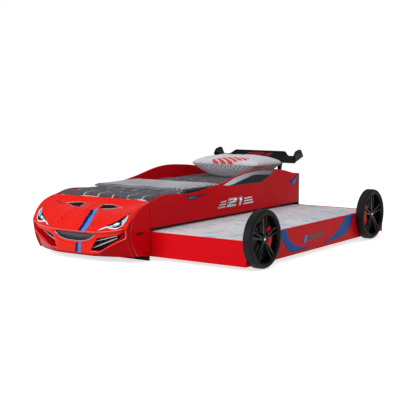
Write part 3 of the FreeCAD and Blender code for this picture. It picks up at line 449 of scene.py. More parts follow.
def inlay(name, outline, surface, material, body, out=0.4, thickness=0.6, cell=14.0):
    """A thin shape laid on a surface. surface(u, v, out) gives the point in millimetres."""
    work = bmesh.new()
    face = work.faces.new([work.verts.new((u, v, 0)) for u, v in outline])
    if face.normal.z < 0 or signed_area(outline) < 0:
        bmesh.ops.reverse_faces(work, faces=[face])
    us, vs = [p[0] for p in outline], [p[1] for p in outline]
    for axis, values in ((0, us), (1, vs)):
        for cut in np.arange(math.ceil(min(values) / cell) * cell, max(values), cell):
            normal = (1, 0, 0) if axis == 0 else (0, 1, 0)
            bmesh.ops.bisect_plane(work, geom=work.verts[:] + work.edges[:] + work.faces[:],
                                   plane_co=(cut * (axis == 0), cut * (axis == 1), 0), plane_no=normal)
    bmesh.ops.triangulate(work, faces=work.faces[:])
    work.verts.index_update()
    flat = [(v.co.x, v.co.y) for v in work.verts]
    top = [surface(u, v, out) for u, v in flat]
    low = [surface(u, v, out - thickness) for u, v in flat]
    count = len(flat)
    faces = [[v.index for v in f.verts] for f in work.faces]
    walls = []
    for edge in work.edges:
        if len(edge.link_faces) == 1:
            loop = edge.link_loops[0]
            a, b = loop.vert.index, loop.link_loop_next.vert.index
            walls.append([b, a, a + count, b + count])
    work.free()
    made = add_piece(name, top + low, faces + [[i + count for i in reversed(f)] for f in faces] + walls,
                     material, body, smooth=True, sharp=40)
    return facing_out(made)


def lathe(name, profile, centre, material, body, steps=96, side=1, sharp=32):
    """Turns a closed outline of (distance out, radius) about the X axis."""
    points = []
    for k in range(steps):
        a = 2 * math.pi * k / steps
        for out, radius in profile:
            points.append((centre[0] + side * out, centre[1] + radius * math.cos(a),
                           centre[2] + radius * math.sin(a)))
    faces = ring_faces(steps, len(profile), closed=True)
    return facing_out(add_piece(name, points, faces, material, body, sharp=sharp))


def tube(name, line, radius, material, body, sides=8, closed=True):
    """A round bead along a line of points in millimetres."""
    line = [Vector(p) for p in line]
    count = len(line)
    points = []
    previous = None
    for k, here in enumerate(line):
        ahead = line[(k + 1) % count] if closed or k < count - 1 else here
        behind = line[k - 1] if closed or k else here
        forward = (ahead - behind).normalized()
        side = previous if previous is not None else forward.orthogonal()
        side = (side - forward * side.dot(forward)).normalized()
        previous = side
        other = forward.cross(side)
        for j in range(sides):
            a = 2 * math.pi * j / sides
            points.append(here + side * (radius * math.cos(a)) + other * (radius * math.sin(a)))
    return facing_out(add_piece(name, points, ring_faces(count, sides, closed, not closed), material, body))


# ---- repeated details, made with geometry nodes ------------------------------------------------
class Repeat:
    """A small geometry node tree with named inputs."""

    def __init__(self, name, sizes):
        self.tree = bpy.data.node_groups.new(name, "GeometryNodeTree")
        self.tree.interface.new_socket("Geometry", in_out="INPUT", socket_type="NodeSocketGeometry")
        for label, value in sizes.items():
            kind = "NodeSocketInt" if isinstance(value, int) else "NodeSocketFloat"
            self.tree.interface.new_socket(label, in_out="INPUT", socket_type=kind).default_value = value
        self.tree.interface.new_socket("Geometry", in_out="OUTPUT", socket_type="NodeSocketGeometry")
        self.given = self.tree.nodes.new("NodeGroupInput").outputs
        self.result = self.tree.nodes.new("NodeGroupOutput")

    def node(self, kind, inputs=(), **settings):
        made = self.tree.nodes.new(kind)
        for name, value in settings.items():
            setattr(made, name, value)
        for name, value in dict(inputs).items():
            if isinstance(value, bpy.types.NodeSocket):
                self.tree.links.new(value, made.inputs[name])
            else:
                made.inputs[name].default_value = value
        return made

    def finish(self, instances, material):
        real = self.node("GeometryNodeRealizeInstances", {0: instances})
        coloured = self.node("GeometryNodeSetMaterial", {"Geometry": real.outputs[0], "Material": material})
        self.tree.links.new(coloured.outputs[0], self.result.inputs[0])
        return self.tree


def run_repeat(name, tree, sizes, points, edges, material, body, normals=None):
    """Runs a tree on a line or cloud of points and keeps the mesh it makes."""
    mesh = bpy.data.meshes.new(name)
    mesh.from_pydata([at(*p) for p in points], edges, [])
    if normals is not None:
        field = mesh.attributes.new("facing", "FLOAT_VECTOR", "POINT")
        field.data.foreach_set("vector", np.array(normals, np.float32).ravel())
    made = bpy.data.objects.new(name, mesh)
    bpy.context.scene.collection.objects.link(made)
    work = made.modifiers.new("repeat", "NODES")
    work.node_group = tree
    sockets = {item.name: item.identifier for item in tree.interface.items_tree if item.in_out == "INPUT"}
    for label, value in sizes.items():
        work[sockets[label]] = value
    settle(made)
    if not made.data.materials:
        made.data.materials.append(material)
    made.data.polygons.foreach_set("use_smooth", [True] * len(made.data.polygons))
    made.data.set_sharp_from_angle(angle=math.radians(40))
    made["rides_on"] = body
    return made


def bolt_tree(material):
    """A domed bolt head at every point, facing the way stored there."""
    tree = Repeat("bolt_heads", {"Radius": 0.004, "Height": 0.002, "Sides": 12})
    head = tree.node("GeometryNodeMeshCone",
                     {"Vertices": tree.given["Sides"], "Radius Bottom": tree.given["Radius"],
                                              "Depth": tree.given["Height"], "Side Segments": 1})
    narrow = tree.node("ShaderNodeMath", {0: tree.given["Radius"], 1: 0.62}, operation="MULTIPLY")
    tree.tree.links.new(narrow.outputs[0], head.inputs["Radius Top"])
    facing = tree.node("GeometryNodeInputNamedAttribute", {"Name": "facing"}, data_type="FLOAT_VECTOR")
    turned = tree.node("FunctionNodeAlignRotationToVector", {"Vector": facing.outputs["Attribute"]}, axis="Z")
    placed = tree.node("GeometryNodeInstanceOnPoints", {"Points": tree.given["Geometry"],
                                                        "Instance": head.outputs["Mesh"],
                                                        "Rotation": turned.outputs[0]})
    return tree.finish(placed.outputs[0], material)


def thread_tree(material):
    """Round wires along every edge of a net."""
    tree = Repeat("net_of_wires", {"Wire Radius": 0.0012, "Sides": 5})
    line = tree.node("GeometryNodeMeshToCurve", {"Mesh": tree.given["Geometry"]})
    ring = tree.node("GeometryNodeCurvePrimitiveCircle", {"Resolution": tree.given["Sides"],
                                                          "Radius": tree.given["Wire Radius"]})
    wires = tree.node("GeometryNodeCurveToMesh", {"Curve": line.outputs[0], "Profile Curve": ring.outputs[0],
                                                  "Fill Caps": True})
    return tree.finish(wires.outputs[0], material)


def tassel_tree(material):
    """Short twisted tassels hanging along an edge, each a little different."""
    tree = Repeat("tassels", {"Length": 0.03, "Thickness": 0.0022, "Seed": 4})
    strand = tree.node("GeometryNodeMeshCone", {"Vertices": 5, "Side Segments": 4, "Radius Top": 0.0006})
    tree.tree.links.new(tree.given["Thickness"], strand.inputs["Radius Bottom"])
    tree.tree.links.new(tree.given["Length"], strand.inputs["Depth"])
    wobble = tree.node("FunctionNodeRandomValue", {"Min": (-0.35, -0.25, -0.6), "Max": (0.35, 0.25, 0.6)},
                       data_type="FLOAT_VECTOR")
    tree.tree.links.new(tree.given["Seed"], wobble.inputs["Seed"])
    facing = tree.node("GeometryNodeInputNamedAttribute", {"Name": "facing"}, data_type="FLOAT_VECTOR")
    turned = tree.node("FunctionNodeAlignRotationToVector", {"Vector": facing.outputs["Attribute"]}, axis="Z")
    spun = tree.node("FunctionNodeRotateRotation", {"Rotation": turned.outputs[0]}, rotation_space="LOCAL")
    euler = tree.node("FunctionNodeEulerToRotation", {"Euler": wobble.outputs[0]})
    tree.tree.links.new(euler.outputs[0], spun.inputs["Rotate By"])
    size = tree.node("FunctionNodeRandomValue", {2: 0.75, 3: 1.15}, data_type="FLOAT")
    tree.tree.links.new(tree.given["Seed"], size.inputs["Seed"])
    placed = tree.node("GeometryNodeInstanceOnPoints", {"Points": tree.given["Geometry"],
                                                        "Instance": strand.outputs["Mesh"],
                                                        "Rotation": spun.outputs[0],
                                                        "Scale": size.outputs[1]})
    return tree.finish(placed.outputs[0], material)


# ---- hood and bumper ------------------------------------------------
NOSE = 298.0
HOOD_MIDDLE = [(0.0, 396.0), (45.0, 371.0), (110.0, 346.0), (225.0, 290.0), (NOSE, 204.0)]
HOOD_FENDER = [(0.0, 392.0), (40.0, 386.0), (90.0, 371.0), (170.0, 314.0), (216.0, 242.0)]
BUMPER_MIDDLE = [(NOSE, 204.0), (NOSE - 13.0, 176.0), (NOSE - 26.0, 66.0), (NOSE - 39.0, 40.0)]
BUMPER_FENDER = [(216.0, 242.0), (212.0, 200.0), (180.0, 94.0), (151.0, 43.0)]
HOOD_DISH = 12.0
RIM_ROUND = 12.0
SHELL_WALL = 3.5
MOUTH = [(182.0, 193.0), (-182.0, 193.0), (-172.0, 172.0), (-140.0, 146.0), (-84.0, 131.0), (0.0, 127.0),
         (84.0, 131.0), (140.0, 146.0), (172.0, 172.0)]
HEADLIGHT = [(203.0, 213.0), (262.0, 243.0), (345.0, 286.0), (388.0, 328.0), (397.0, 306.0), (394.0, 275.0),
             (380.0, 248.0), (350.0, 229.0), (315.0, 229.0), (282.0, 234.0), (244.0, 222.0)]
FOG_INTAKE = [(196.0, 160.0), (362.0, 193.0), (411.0, 224.0), (408.0, 172.0), (222.0, 76.0), (150.0, 76.0)]
HOOD_VENT = [(76.0, 128.0), (80.0, 58.0), (152.0, 44.0), (252.0, 66.0), (158.0, 101.0)]
FOG_POCKET = [(172.0, 157.0), (330.0, 186.0), (338.0, 188.0), (336.0, 174.0), (205.0, 82.0), (128.0, 80.0)]
POCKET_DEPTH = 38.0
CORNER_LIP = ([165, 216, 411, 415, 431], [62, 66, 173, 222, 300])
FENDER_BEAD = [(6.0, 388.0), (60.0, 373.0), (102.0, 353.0), (153.0, 313.0), (179.0, 280.0), (194.0, 233.0),
               (197.0, 188.0), (177.0, 121.0), (146.0, 66.0), (128.0, 46.0)]


def spline_line(points, count):
    """Evenly spread points on the natural cubic line through the given ones."""
    points = np.array(points, float)
    t = np.concatenate([[0], np.cumsum(np.hypot(*np.diff(points, axis=0).T))])
    n = len(t)
    step = np.diff(t)
    grid = np.zeros((n, n))
    grid[0, 0] = grid[-1, -1] = 1
    for i in range(1, n - 1):
        grid[i, i - 1:i + 2] = step[i - 1], 2 * (step[i - 1] + step[i]), step[i]
    right = np.zeros((n, 2))
    slopes = np.diff(points, axis=0) / step[:, None]
    right[1:-1] = 6 * np.diff(slopes, axis=0)
    bend = np.linalg.solve(grid, right)
    out = []
    for s in np.linspace(0, t[-1], count):
        i = min(np.searchsorted(t, s, side="right") - 1, n - 2)
        h, a, b = step[i], t[i + 1] - s, s - t[i]
        out.append(bend[i] * a ** 3 / (6 * h) + bend[i + 1] * b ** 3 / (6 * h)
                   + (points[i] / h - bend[i] * h / 6) * a + (points[i + 1] / h - bend[i + 1] * h / 6) * b)
    return np.array(out)


def ease(value):
    """0 below 0, 1 above 1 and a smooth step between."""
    value = np.clip(value, 0.0, 1.0)
    return value * value * (3 - 2 * value)


def rising(value, start, width):
    """A smooth step up that begins at start."""
    return ease((value - start) / width)


def falling(value, start, width):
    """A smooth step down that begins at start."""
    return 1 - ease((value - start) / width)


def hump(value, width):
    """A round hump at 0."""
    return np.exp(-(value / width) ** 2)


def distance_to_line(x, z, line):
    """Distance from points to a run of straight pieces, and which side they are on."""
    best = np.full(np.shape(x), 1e9)
    side = np.zeros(np.shape(x))
    for (ax, az), (bx, bz) in zip(line, line[1:]):
        dx, dz = bx - ax, bz - az
        t = np.clip(((x - ax) * dx + (z - az) * dz) / (dx * dx + dz * dz), 0, 1)
        d = np.hypot(x - ax - t * dx, z - az - t * dz)
        cross = dx * (z - az) - dz * (x - ax)
        side = np.where(d < best, np.sign(cross), side)
        best = np.minimum(best, d)
    return best, side


UPPER_ROWS, LOWER_ROWS = 112, 72


def between(first, second, share):
    """Corners that lie a share of the way from one line to another."""
    return [(a[0] + (b[0] - a[0]) * share, a[1] + (b[1] - a[1]) * share) for a, b in zip(first, second)]


def front_profile(x):
    """Outer surface at x, from the rear of the hood to the bottom lip, as rows of (ahead, height)."""
    fraction = min(abs(x) / HALF, 1.0)
    share = fraction ** 3.2
    dish = HOOD_DISH * math.sin(math.pi * fraction) ** 2
    hood = between(HOOD_MIDDLE, HOOD_FENDER, share)
    hood = hood[:1] + [(f, z - dish) for f, z in hood[1:-1]] + hood[-1:]
    upper = spline_line(hood, UPPER_ROWS)
    lower = spline_line(between(BUMPER_MIDDLE, BUMPER_FENDER, share), LOWER_ROWS)
    line = np.vstack([upper, lower[1:]])
    f, z = line[:, 0].copy(), line[:, 1].copy()
    ax = abs(x)
    across = np.full(len(f), ax)
    on_hood = (np.arange(len(f)) < UPPER_ROWS).astype(float)
    run = np.concatenate([[0], np.cumsum(np.hypot(np.diff(f), np.diff(z)))])
    past = run - run[UPPER_ROWS - 1]

    # hood: shield between two ridges from the vents to the mouth, with soft arched creases on it
    ridge = 62 + 92 * np.clip(f / 262, 0, 1)
    rise = 8.5 * hump(ax - ridge, 12) * rising(f, 70, 60) * falling(f, 258, 34)
    rise -= 10.0 * ease((ridge - 8 - ax) / 30) * rising(f, 130, 50) * falling(f, 250, 40)
    rise += 4.0 * hump(ax, 18) * rising(f, 15, 50) * falling(f, 140, 70)
    arch = (f + ax * ax / 210 - 150) / 34
    creases = 1.9 * np.sin(2 * math.pi * arch) * rising(f, 150, 30) * falling(f, 262, 20)
    rise += creases * ease((ridge - ax) / 24)
    brow, _ = distance_to_line(across, z, [(200, 224), (262, 254), (345, 298), (388, 341)])
    rise += 3.5 * hump(brow, 9)
    # the middle lies lower than the bead round the shell's edge, and swells again into its front lip
    rise -= 4.5 * falling(ax, 396, 22) * rising(f, 14, 30)
    rise += 3.0 * hump(past, 8) * falling(ax, 396, 22)
    tangent = np.gradient(line, axis=0)
    tangent /= np.maximum(np.hypot(tangent[:, 0], tangent[:, 1]), 1e-6)[:, None]
    f += -tangent[:, 1] * rise * on_hood
    z += tangent[:, 0] * rise * on_hood

    # bumper: set back under the hood's lip, with a raised lip under the intakes and a cut-away corner
    on_bumper = 1.0 - on_hood
    middle = falling(ax, 150, 60)
    lip, side = distance_to_line(across, z, [(165, 62), (216, 66), (411, 173), (415, 222), (414, 250)])
    above = (side >= 0).astype(float)
    inside_bead = falling(ax, 402, 20)
    back = (8.0 * ease(past / 9) * falling(past, 34, 40) + 3.0) * middle
    back += (3.0 + 11.0 * ease(past / 9) * above * ease(lip / 16)) * (1 - middle) * inside_bead
    back += 13.0 * ease(lip / 50) * (1 - above) * rising(ax, 165, 40) * inside_bead
    back -= 5.0 * hump(lip, 7) * rising(ax, 160, 30) * inside_bead
    to_mouth, side = distance_to_line(across, z,
                                      [(0, 193), (182, 193), (172, 172), (140, 146), (84, 131), (0, 127)])
    outside = (side > 0).astype(float)
    back += (6.0 * hump(to_mouth, 7) - 3.5 * hump(to_mouth - 15, 6) * outside) * (z < 215)
    back -= 3.0 * hump(z - 98, 12) * falling(ax, 130, 40)
    f -= back * on_bumper
    f = np.minimum(f, NOSE - 0.3)
    return np.stack([f, z], axis=1)


def moved_in(line, distance):
    """The same line moved inwards along its own normals."""
    ahead = np.vstack([line[1:], line[-1:]]) - np.vstack([line[:1], line[:-1]])
    ahead /= np.maximum(np.hypot(ahead[:, 0], ahead[:, 1]), 1e-6)[:, None]
    return np.stack([line[:, 0] + distance * ahead[:, 1], line[:, 1] - distance * ahead[:, 0]], axis=1)


profiles = {}


def profile_near(x):
    """Surface line at x, kept for every 4 mm and blended between."""
    low = math.floor(x / 4) * 4
    for key in (low, low + 4):
        if key not in profiles:
            profiles[key] = front_profile(key)
    t = (x - low) / 4
    return profiles[low] * (1 - t) + profiles[low + 4] * t


def face_depth(x, z):
    """How far ahead of the seam the hood or bumper lies at x and height z."""
    line = profile_near(x)
    line = line[np.argsort(line[:, 1])]
    return float(np.interp(z, line[:, 1], line[:, 0]))


def front_face(x, z, out=0.0):
    """Point on the hood or bumper at x and height z, moved outwards."""
    slope = (face_depth(x, z + 3) - face_depth(x, z - 3)) / 6
    side = (face_depth(x + 3, z) - face_depth(x - 3, z)) / 6
    normal = Vector((-side, -1.0, -slope)).normalized()
    return Vector((x, SEAM - face_depth(x, z), z)) + normal * out


def hood_top(x, ahead, out=0.0):
    """Point on the hood at x and that distance ahead of the seam."""
    line = profile_near(x)[:UPPER_ROWS]
    z = float(np.interp(ahead, line[:, 0], line[:, 1]))
    return Vector((x, SEAM - ahead, z + out))


SIDES = (("near", 1), ("far", -1))


def mirror_outline(points):
    """The outline on the other half of the bed, turning the same way round."""
    return [(-x, z) for x, z in reversed(points)]


def on_half(points, sign):
    """The outline as drawn for the near half, or mirrored for the far half."""
    return points if sign > 0 else mirror_outline(points)


def inside_of(points, x, z):
    """Whether a polygon holds a point."""
    inside = False
    for (ax, az), (bx, bz) in zip(points, points[1:] + points[:1]):
        if (az > z) != (bz > z) and x < (bx - ax) * (z - az) / (bz - az) + ax:
            inside = not inside
    return inside


def behind_front(distance):
    """A surface that follows the front, that far behind it."""
    return lambda x, z, out: front_face(x, z) + Vector((0, distance - out, 0))


def on_side(face, sign=1):
    """A flat upright surface at that distance from the middle, drawn as (y, z)."""
    return lambda y, z, out: Vector((sign * (face + out), y, z))


def grown(points, distance):
    """A polygon with each side moved outwards."""
    sign = 1.0 if signed_area(points) > 0 else -1.0
    lines = []
    for a, b in zip(points, points[1:] + points[:1]):
        length = math.hypot(b[0] - a[0], b[1] - a[1]) or 1e-6
        normal = (sign * (b[1] - a[1]) / length, -sign * (b[0] - a[0]) / length)
        lines.append((normal, normal[0] * a[0] + normal[1] * a[1] + distance))
    result = []
    for (n0, c0), (n1, c1), here in zip(lines[-1:] + lines[:-1], lines, points):
        det = n0[0] * n1[1] - n0[1] * n1[0]
        if abs(det) < 0.05:
            result.append((here[0] + n1[0] * distance, here[1] + n1[1] * distance))
        else:
            result.append(((c0 * n1[1] - c1 * n0[1]) / det, (n0[0] * c1 - n1[0] * c0) / det))
    return result


def soft_corners(points, radius, steps=5):
    """The polygon with each corner rounded."""
    result = []
    count = len(points)
    for index, corner in enumerate(points):
        here = Vector(corner)
        before, after = Vector(points[index - 1]) - here, Vector(points[(index + 1) % count]) - here
        reach = min(radius, before.length * 0.45, after.length * 0.45)
        start, end = here + before.normalized() * reach, here + after.normalized() * reach
        for t in np.linspace(0, 1, steps):
            result.append(tuple(start * (1 - t) ** 2 + here * 2 * t * (1 - t) + end * t ** 2))
    return result


def cutter(name, outline, plane):
    """A prism through the shell, for one opening."""
    count = len(outline)
    if plane == "front":
        rings = [[(u, SEAM - f, v) for u, v in outline] for f in (90.0, NOSE + 40)]
    else:
        rings = [[(u, SEAM - v, z) for u, v in outline] for z in (290.0, 440.0)]
    faces = [tuple(range(count)), tuple(reversed(range(count, 2 * count)))]
    return facing_out(add_piece(name, rings[0] + rings[1], faces + ring_faces(2, count), paint_red, BED,
                                smooth=False))


def build_front_shell():
    """Moulded hood and bumper with rounded ends, a wall and its openings cut through."""
    reach = HALF - RIM_ROUND
    columns = [(x, 0.0) for x in np.linspace(-reach, reach, 213)]
    ends = []
    for step in range(1, 8):
        a = step / 7 * math.pi / 2
        ends.append((reach + RIM_ROUND * math.sin(a), RIM_ROUND * (1 - math.cos(a))))
    ends.append((HALF - 3.0, RIM_ROUND + 0.3))
    columns = [(-x, d) for x, d in reversed(ends)] + columns + ends
    points, faces = [], []
    rows = UPPER_ROWS + LOWER_ROWS - 1
    for x, inset in columns:
        line = moved_in(front_profile(x), inset)
        line[:, 0] = np.maximum(line[:, 0], 0.0)
        points += [(x, SEAM - f, z) for f, z in line]
    for c in range(len(columns) - 1):
        for r in range(rows - 1):
            a = c * rows + r
            faces.append((a, a + 1, a + rows + 1, a + rows))
    shell = add_piece("hood_and_bumper", points, faces, paint_red, BED)
    outward = sum(p.normal.z - p.normal.y for p in shell.data.polygons)
    thicken(shell, SHELL_WALL, -1 if outward > 0 else 1, False)
    openings = [cutter("cut_mouth", soft_corners(MOUTH, 12), "front")]
    for name, outline, radius, plane in (("headlight", HEADLIGHT, 3, "front"),
                                         ("fog", FOG_INTAKE, 9, "front"), ("vent", HOOD_VENT, 4, "top")):
        shape = soft_corners(outline, radius)
        openings += [cutter("cut_near_" + name, shape, plane),
                     cutter("cut_far_" + name, mirror_outline(shape), plane)]
    for opening in openings:
        hole = shell.modifiers.new("hole", "BOOLEAN")
        hole.operation = "DIFFERENCE"
        hole.solver = "EXACT"
        hole.object = opening
        settle(shell)
    for opening in openings:
        bpy.data.objects.remove(opening)
    # Faces below the corner lip and along the bottom that point sideways or down take a deeper red: painted
    # shade where the bumper turns away from the light.
    shell.data.materials.append(deep_red_and_shade)
    for face in shell.data.polygons:
        middle = face.center * 1000
        x, z = middle.x - MIDDLE_X * 1000, middle.z
        lip = np.interp(abs(x), *CORNER_LIP)
        if (abs(x) > CORNER_LIP[0][0] and z < lip or z < 52) and face.normal.z < 0.5:
            face.material_index = 1
    shell.data.polygons.foreach_set("use_smooth", [True] * len(shell.data.polygons))
    shell.data.set_sharp_from_angle(angle=math.radians(38))
    ride(shell, ["front_shell"])


def opening_lip(name, outline, surface, radius, material, sink=0.6):
    """A bead round an opening, sunk a little into the surface."""
    line = [surface(u, v, -sink) for u, v in outline]
    return tube(name, line, radius, material, BED)


def build_edges():
    """Rounded glossy edges in a lighter, pinker red that paints their highlight: the hood's lip over the
    mouth and lights, and the beads round the fenders.
    """
    line = []
    for x in range(-392, 393, 8):
        f, z = profile_near(x)[UPPER_ROWS - 1]
        line.append(Vector((x, SEAM - f + 2.6, z - 1.0)))
    ride(tube("hood_lip", line, 3.6, highlight_lip_red, BED, 10, closed=False))
    bead = curve_through(FENDER_BEAD, 6, closed=False)
    for side, sign in SIDES:
        line = [Vector((sign * (HALF - 2.6), SEAM - ahead, z)) for ahead, z in bead]
        ride(tube(side + "_fender_bead", line, 3.0, highlight_lip_red, BED, 10, closed=False))
        marks = []
        for number, start in enumerate((SEAM - 138, SEAM - 114, SEAM - 90)):
            shape = [(start, 181), (start + 17, 181), (start + 21, 202), (start + 4, 202)]
            marks.append(inlay("%s_mark_%d" % (side, number), shape, on_side(HALF - 2.0, sign), gloss_black,
                               BED, 0.5, 0.5, 60))
        ride(join_pieces(side + "_fender_marks", marks))
    strokes = [inlay("hood_stroke_%d" % number, [(-x0, a), (-x1, a + 6), (-x1, a + 12), (-x0, a + 8)],
                     hood_top, stripe_paints["navy"] if number == 0 else deep_red_and_shade, BED, 0.7, 0.6, 12.0)
               for number, (x0, x1, a) in enumerate(((338, 300, 66), (304, 262, 78)))]
    ride(join_pieces("hood_strokes", strokes))


def build_mouth():
    """Red lip in a lighter red that paints its highlight, side walls in a deeper red that paints the shade
    inside, and a fine diamond mesh at its back.
    """
    outline = soft_corners(MOUTH, 12, 6)
    points = []
    depths = (0.0, 8.0, 18.0, 27.0)
    for depth in depths:
        for x, z in outline:
            inward = 1 - 0.02 * depth / 27
            points.append(front_face(x * inward, 160 + (z - 160) * inward, -1.0) + Vector((0, depth, 0)))
    # The walls are a deeper red: painted shade inside the mouth.
    wall = facing_out(add_piece("mouth_wall", points, ring_faces(len(depths), len(outline)), deep_red_and_shade, BED))
    wall = thicken(wall, 2.0, 1.0)
    lip = opening_lip("mouth_lip", outline, front_face, 3.2, highlight_lip_red)
    made = join_pieces("mouth_surround", [wall, lip])
    ride(made)
    net_face = behind_front(24)
    net_points, net_edges = [], []
    pitch, index = 8.5, {}
    inner = grown(MOUTH, -1.0)
    for row in range(-1, 10):
        for column in range(-24, 25):
            x, z = column * pitch + (pitch / 2 if row % 2 else 0), 127 + row * pitch
            if inside_of(inner, x, z):
                index[(row, column)] = len(net_points)
                net_points.append(net_face(x, z, 0))
    for (row, column), here in index.items():
        for step in ((1, 0), (1, -1) if row % 2 == 0 else (1, 1)):
            other = index.get((row + step[0], column + step[1]))
            if other is not None:
                net_edges.append((here, other))
    net = run_repeat("grille_net", thread_tree(grille_grey), {"Wire Radius": 0.0013, "Sides": 5},
                     net_points, net_edges, grille_grey, BED)
    frame_line = [net_face(x, z, 0) for x, z in soft_corners(grown(MOUTH, -3.0), 11, 5)]
    frame_bead = tube("grille_frame", frame_line, 2.6, grille_grey, BED, 6)
    low_line = curve_through([(-172, 184), (-166, 175), (-135, 153), (-82, 138), (0, 134), (82, 138),
                              (135, 153), (166, 175)], 8, closed=False)
    silver_lip = tube("grille_lip", [behind_front(7)(x, z, 0) for x, z in low_line], 2.6, satin_silver,
                      BED, 8, closed=False)
    backing = inlay("grille_backing", soft_corners(grown(MOUTH, -0.5), 12, 5), behind_front(32), matt_black,
                    BED, 0.0, 2.0)
    made = join_pieces("grille_insert", [net, frame_bead, silver_lip, backing])
    ride(made, ["grille_mesh"])


def ribbon(line, width):
    """Outline of a band of that width along a line, narrowing at both ends."""
    line = [np.array(p, float) for p in line]
    left, right = [], []
    for k, here in enumerate(line):
        way = line[min(k + 1, len(line) - 1)] - line[max(k - 1, 0)]
        way /= np.hypot(*way)
        half = width / 2 * (0.25 + 0.75 * math.sin(math.pi * (0.06 + 0.88 * k / (len(line) - 1))) ** 0.5)
        left.append(tuple(here + half * np.array([-way[1], way[0]])))
        right.append(tuple(here - half * np.array([-way[1], way[0]])))
    return left + right[::-1]


def lamp_spot(x, z, wide, high, count):
    """Outline of a round reflector, leaning with the hood."""
    spots = []
    for a in np.linspace(0, 2 * math.pi, count)[:-1]:
        spots.append((x + wide * math.cos(a), z + 0.3 * wide * math.cos(a) + high * math.sin(a)))
    return spots


def build_headlights():
    """Lamp units: dark bowl, bright reflectors, a light band and a clear cover in line with the hood."""
    rim = soft_corners(HEADLIGHT, 4)
    fan = curve_through([(258, 239), (296, 253), (324, 262), (352, 276), (356, 262), (338, 250), (306, 243),
                         (280, 241)], 5, sharp=(0, 3))
    wing = curve_through([(360, 283), (381, 316), (387, 298), (383, 274), (372, 262), (366, 270)], 5,
                         sharp=(0, 1))
    band = ribbon(curve_through([(208, 216), (238, 226), (272, 239), (310, 234), (350, 234), (377, 248),
                                 (387, 272), (389, 296), (385, 318)], 6, closed=False), 11.0)
    layers = (("back", rim, lamp_dark, -9.0, 3.0), ("fan", fan, lamp_silver, -6.5, 2.0),
              ("spot", lamp_spot(333, 262, 19, 7.5, 20), lamp_white, -4.5, 3.0),
              ("inner", lamp_spot(300, 249, 11, 4.5, 16), lamp_white, -4.5, 3.0),
              ("wing", wing, lamp_blue, -6.0, 2.5), ("band", band, lamp_white, -1.2, 3.5))
    for side, sign in SIDES:
        parts = [inlay(side + "_" + part, on_half(shape, sign), front_face, material, BED, out, thickness)
                 for part, shape, material, out, thickness in layers]
        unit = join_pieces(side + "_headlight_unit", parts)
        ride(unit, [side + "_headlight_housing"])
        bezel = opening_lip(side + "_headlight_bezel", on_half(rim, sign), front_face, 1.5, gloss_black, 0.8)
        ride(bezel)
        cover = inlay(side + "_headlight_cover", on_half(soft_corners(grown(HEADLIGHT, -0.6), 3), sign),
                      front_face, clear_cover, BED, 0.2, 1.6)
        ride(cover, [side + "_headlight_lens"])


def build_fog_intakes():
    """Deep painted pockets with a black insert and two bright blades at the bottom; the pocket walls are a
    deeper red as painted shade, and the lip a lighter red as painted highlight.
    """
    outline, bottom = soft_corners(FOG_INTAKE, 9, 5), soft_corners(FOG_POCKET, 9, 5)
    blades = [ribbon(curve_through([(150, 133), (180, 142), (232, 155), (286, 170), (332, 182)], 4,
                                   closed=False), 6.0),
              ribbon(curve_through([(134, 87), (176, 104), (228, 125), (284, 148), (331, 167)], 4,
                                   closed=False), 6.5)]
    behind = behind_front(POCKET_DEPTH)
    steps = 5
    for side, sign in SIDES:
        shape, deep = on_half(outline, sign), on_half(bottom, sign)
        points = []
        for t in [k / (steps - 1) for k in range(steps)]:
            for (x0, z0), (x1, z1) in zip(shape, deep):
                points.append(front_face(x0, z0, -1.0) * (1 - t) + behind(x1, z1, 0) * t)
        # The walls are a deeper red: painted shade inside the pocket.
        wall = add_piece(side + "_fog_wall", points, ring_faces(steps, len(shape)), deep_red_and_shade, BED)
        ride(thicken(facing_out(wall), 2.0, 1.0))
        back = inlay(side + "_fog_back", deep, behind, pocket_black, BED, 0.6, 2.0)
        ribs = []
        for number in range(5):
            x, low, high = 150 + number * 38, 84 + number * 15, 149 + number * 7
            rib = [(x, low), (x + 7, low + 2), (x + 26, high + 1), (x + 20, high)]
            ribs.append(inlay("%s_fog_rib_%d" % (side, number), on_half(rib, sign), behind, gloss_black,
                              BED, 5.0, 5.0))
        ride(join_pieces(side + "_fog_pocket", [back] + ribs), [side + "_fog_intake"])
        lip_line = curve_through([(150, 74), (190, 73), (222, 76), (300, 121), (372, 156), (406, 173),
                                  (411, 196), (411, 222)], 6, closed=False, sharp=(0,))
        line = [front_face(sign * x, z, -1.6) for x, z in lip_line]
        ride(tube(side + "_fog_lip", line, 4.0, highlight_lip_red, BED, 10, closed=False))
        bars = [inlay("%s_blade_%d" % (side, number), on_half(blade, sign), behind, satin_silver,
                      BED, 13.0, 12.0)
                for number, blade in enumerate(blades)]
        made = round_edges(join_pieces(side + "_fog_blades", bars), 1.2, 2, 40)
        ride(made, ["fog_bars"] if side == "near" else ())


def build_vents():
    """Black louvred inserts sunk in the hood, each in a thin bright frame."""
    outline = soft_corners(HOOD_VENT, 4, 4)
    inside = grown(HOOD_VENT, -2.0)
    for side, sign in SIDES:
        shape = on_half(outline, sign)
        parts = [inlay(side + "_vent_floor", shape, hood_top, matt_black, BED, -6.0, 2.0),
                 opening_lip(side + "_vent_edge", shape, hood_top, 1.7, satin_silver, -0.2)]
        for number in range(8):
            fin = [(96 + number * 21.0 - (a - 70) * 0.5, a) for a in np.arange(48, 122, 1.5)]
            fin = [(x, a) for x, a in fin if inside_of(inside, x, a)]
            if len(fin) > 3:
                line = [hood_top(sign * x, a, -2.2) for x, a in fin]
                parts.append(tube("%s_vent_fin_%d" % (side, number), line, 3.0, gloss_black,
                                  BED, 6, closed=False))
        made = join_pieces(side + "_vent_insert", parts)
        ride(made, ["hood_vent_grilles"] if side == "near" else ())


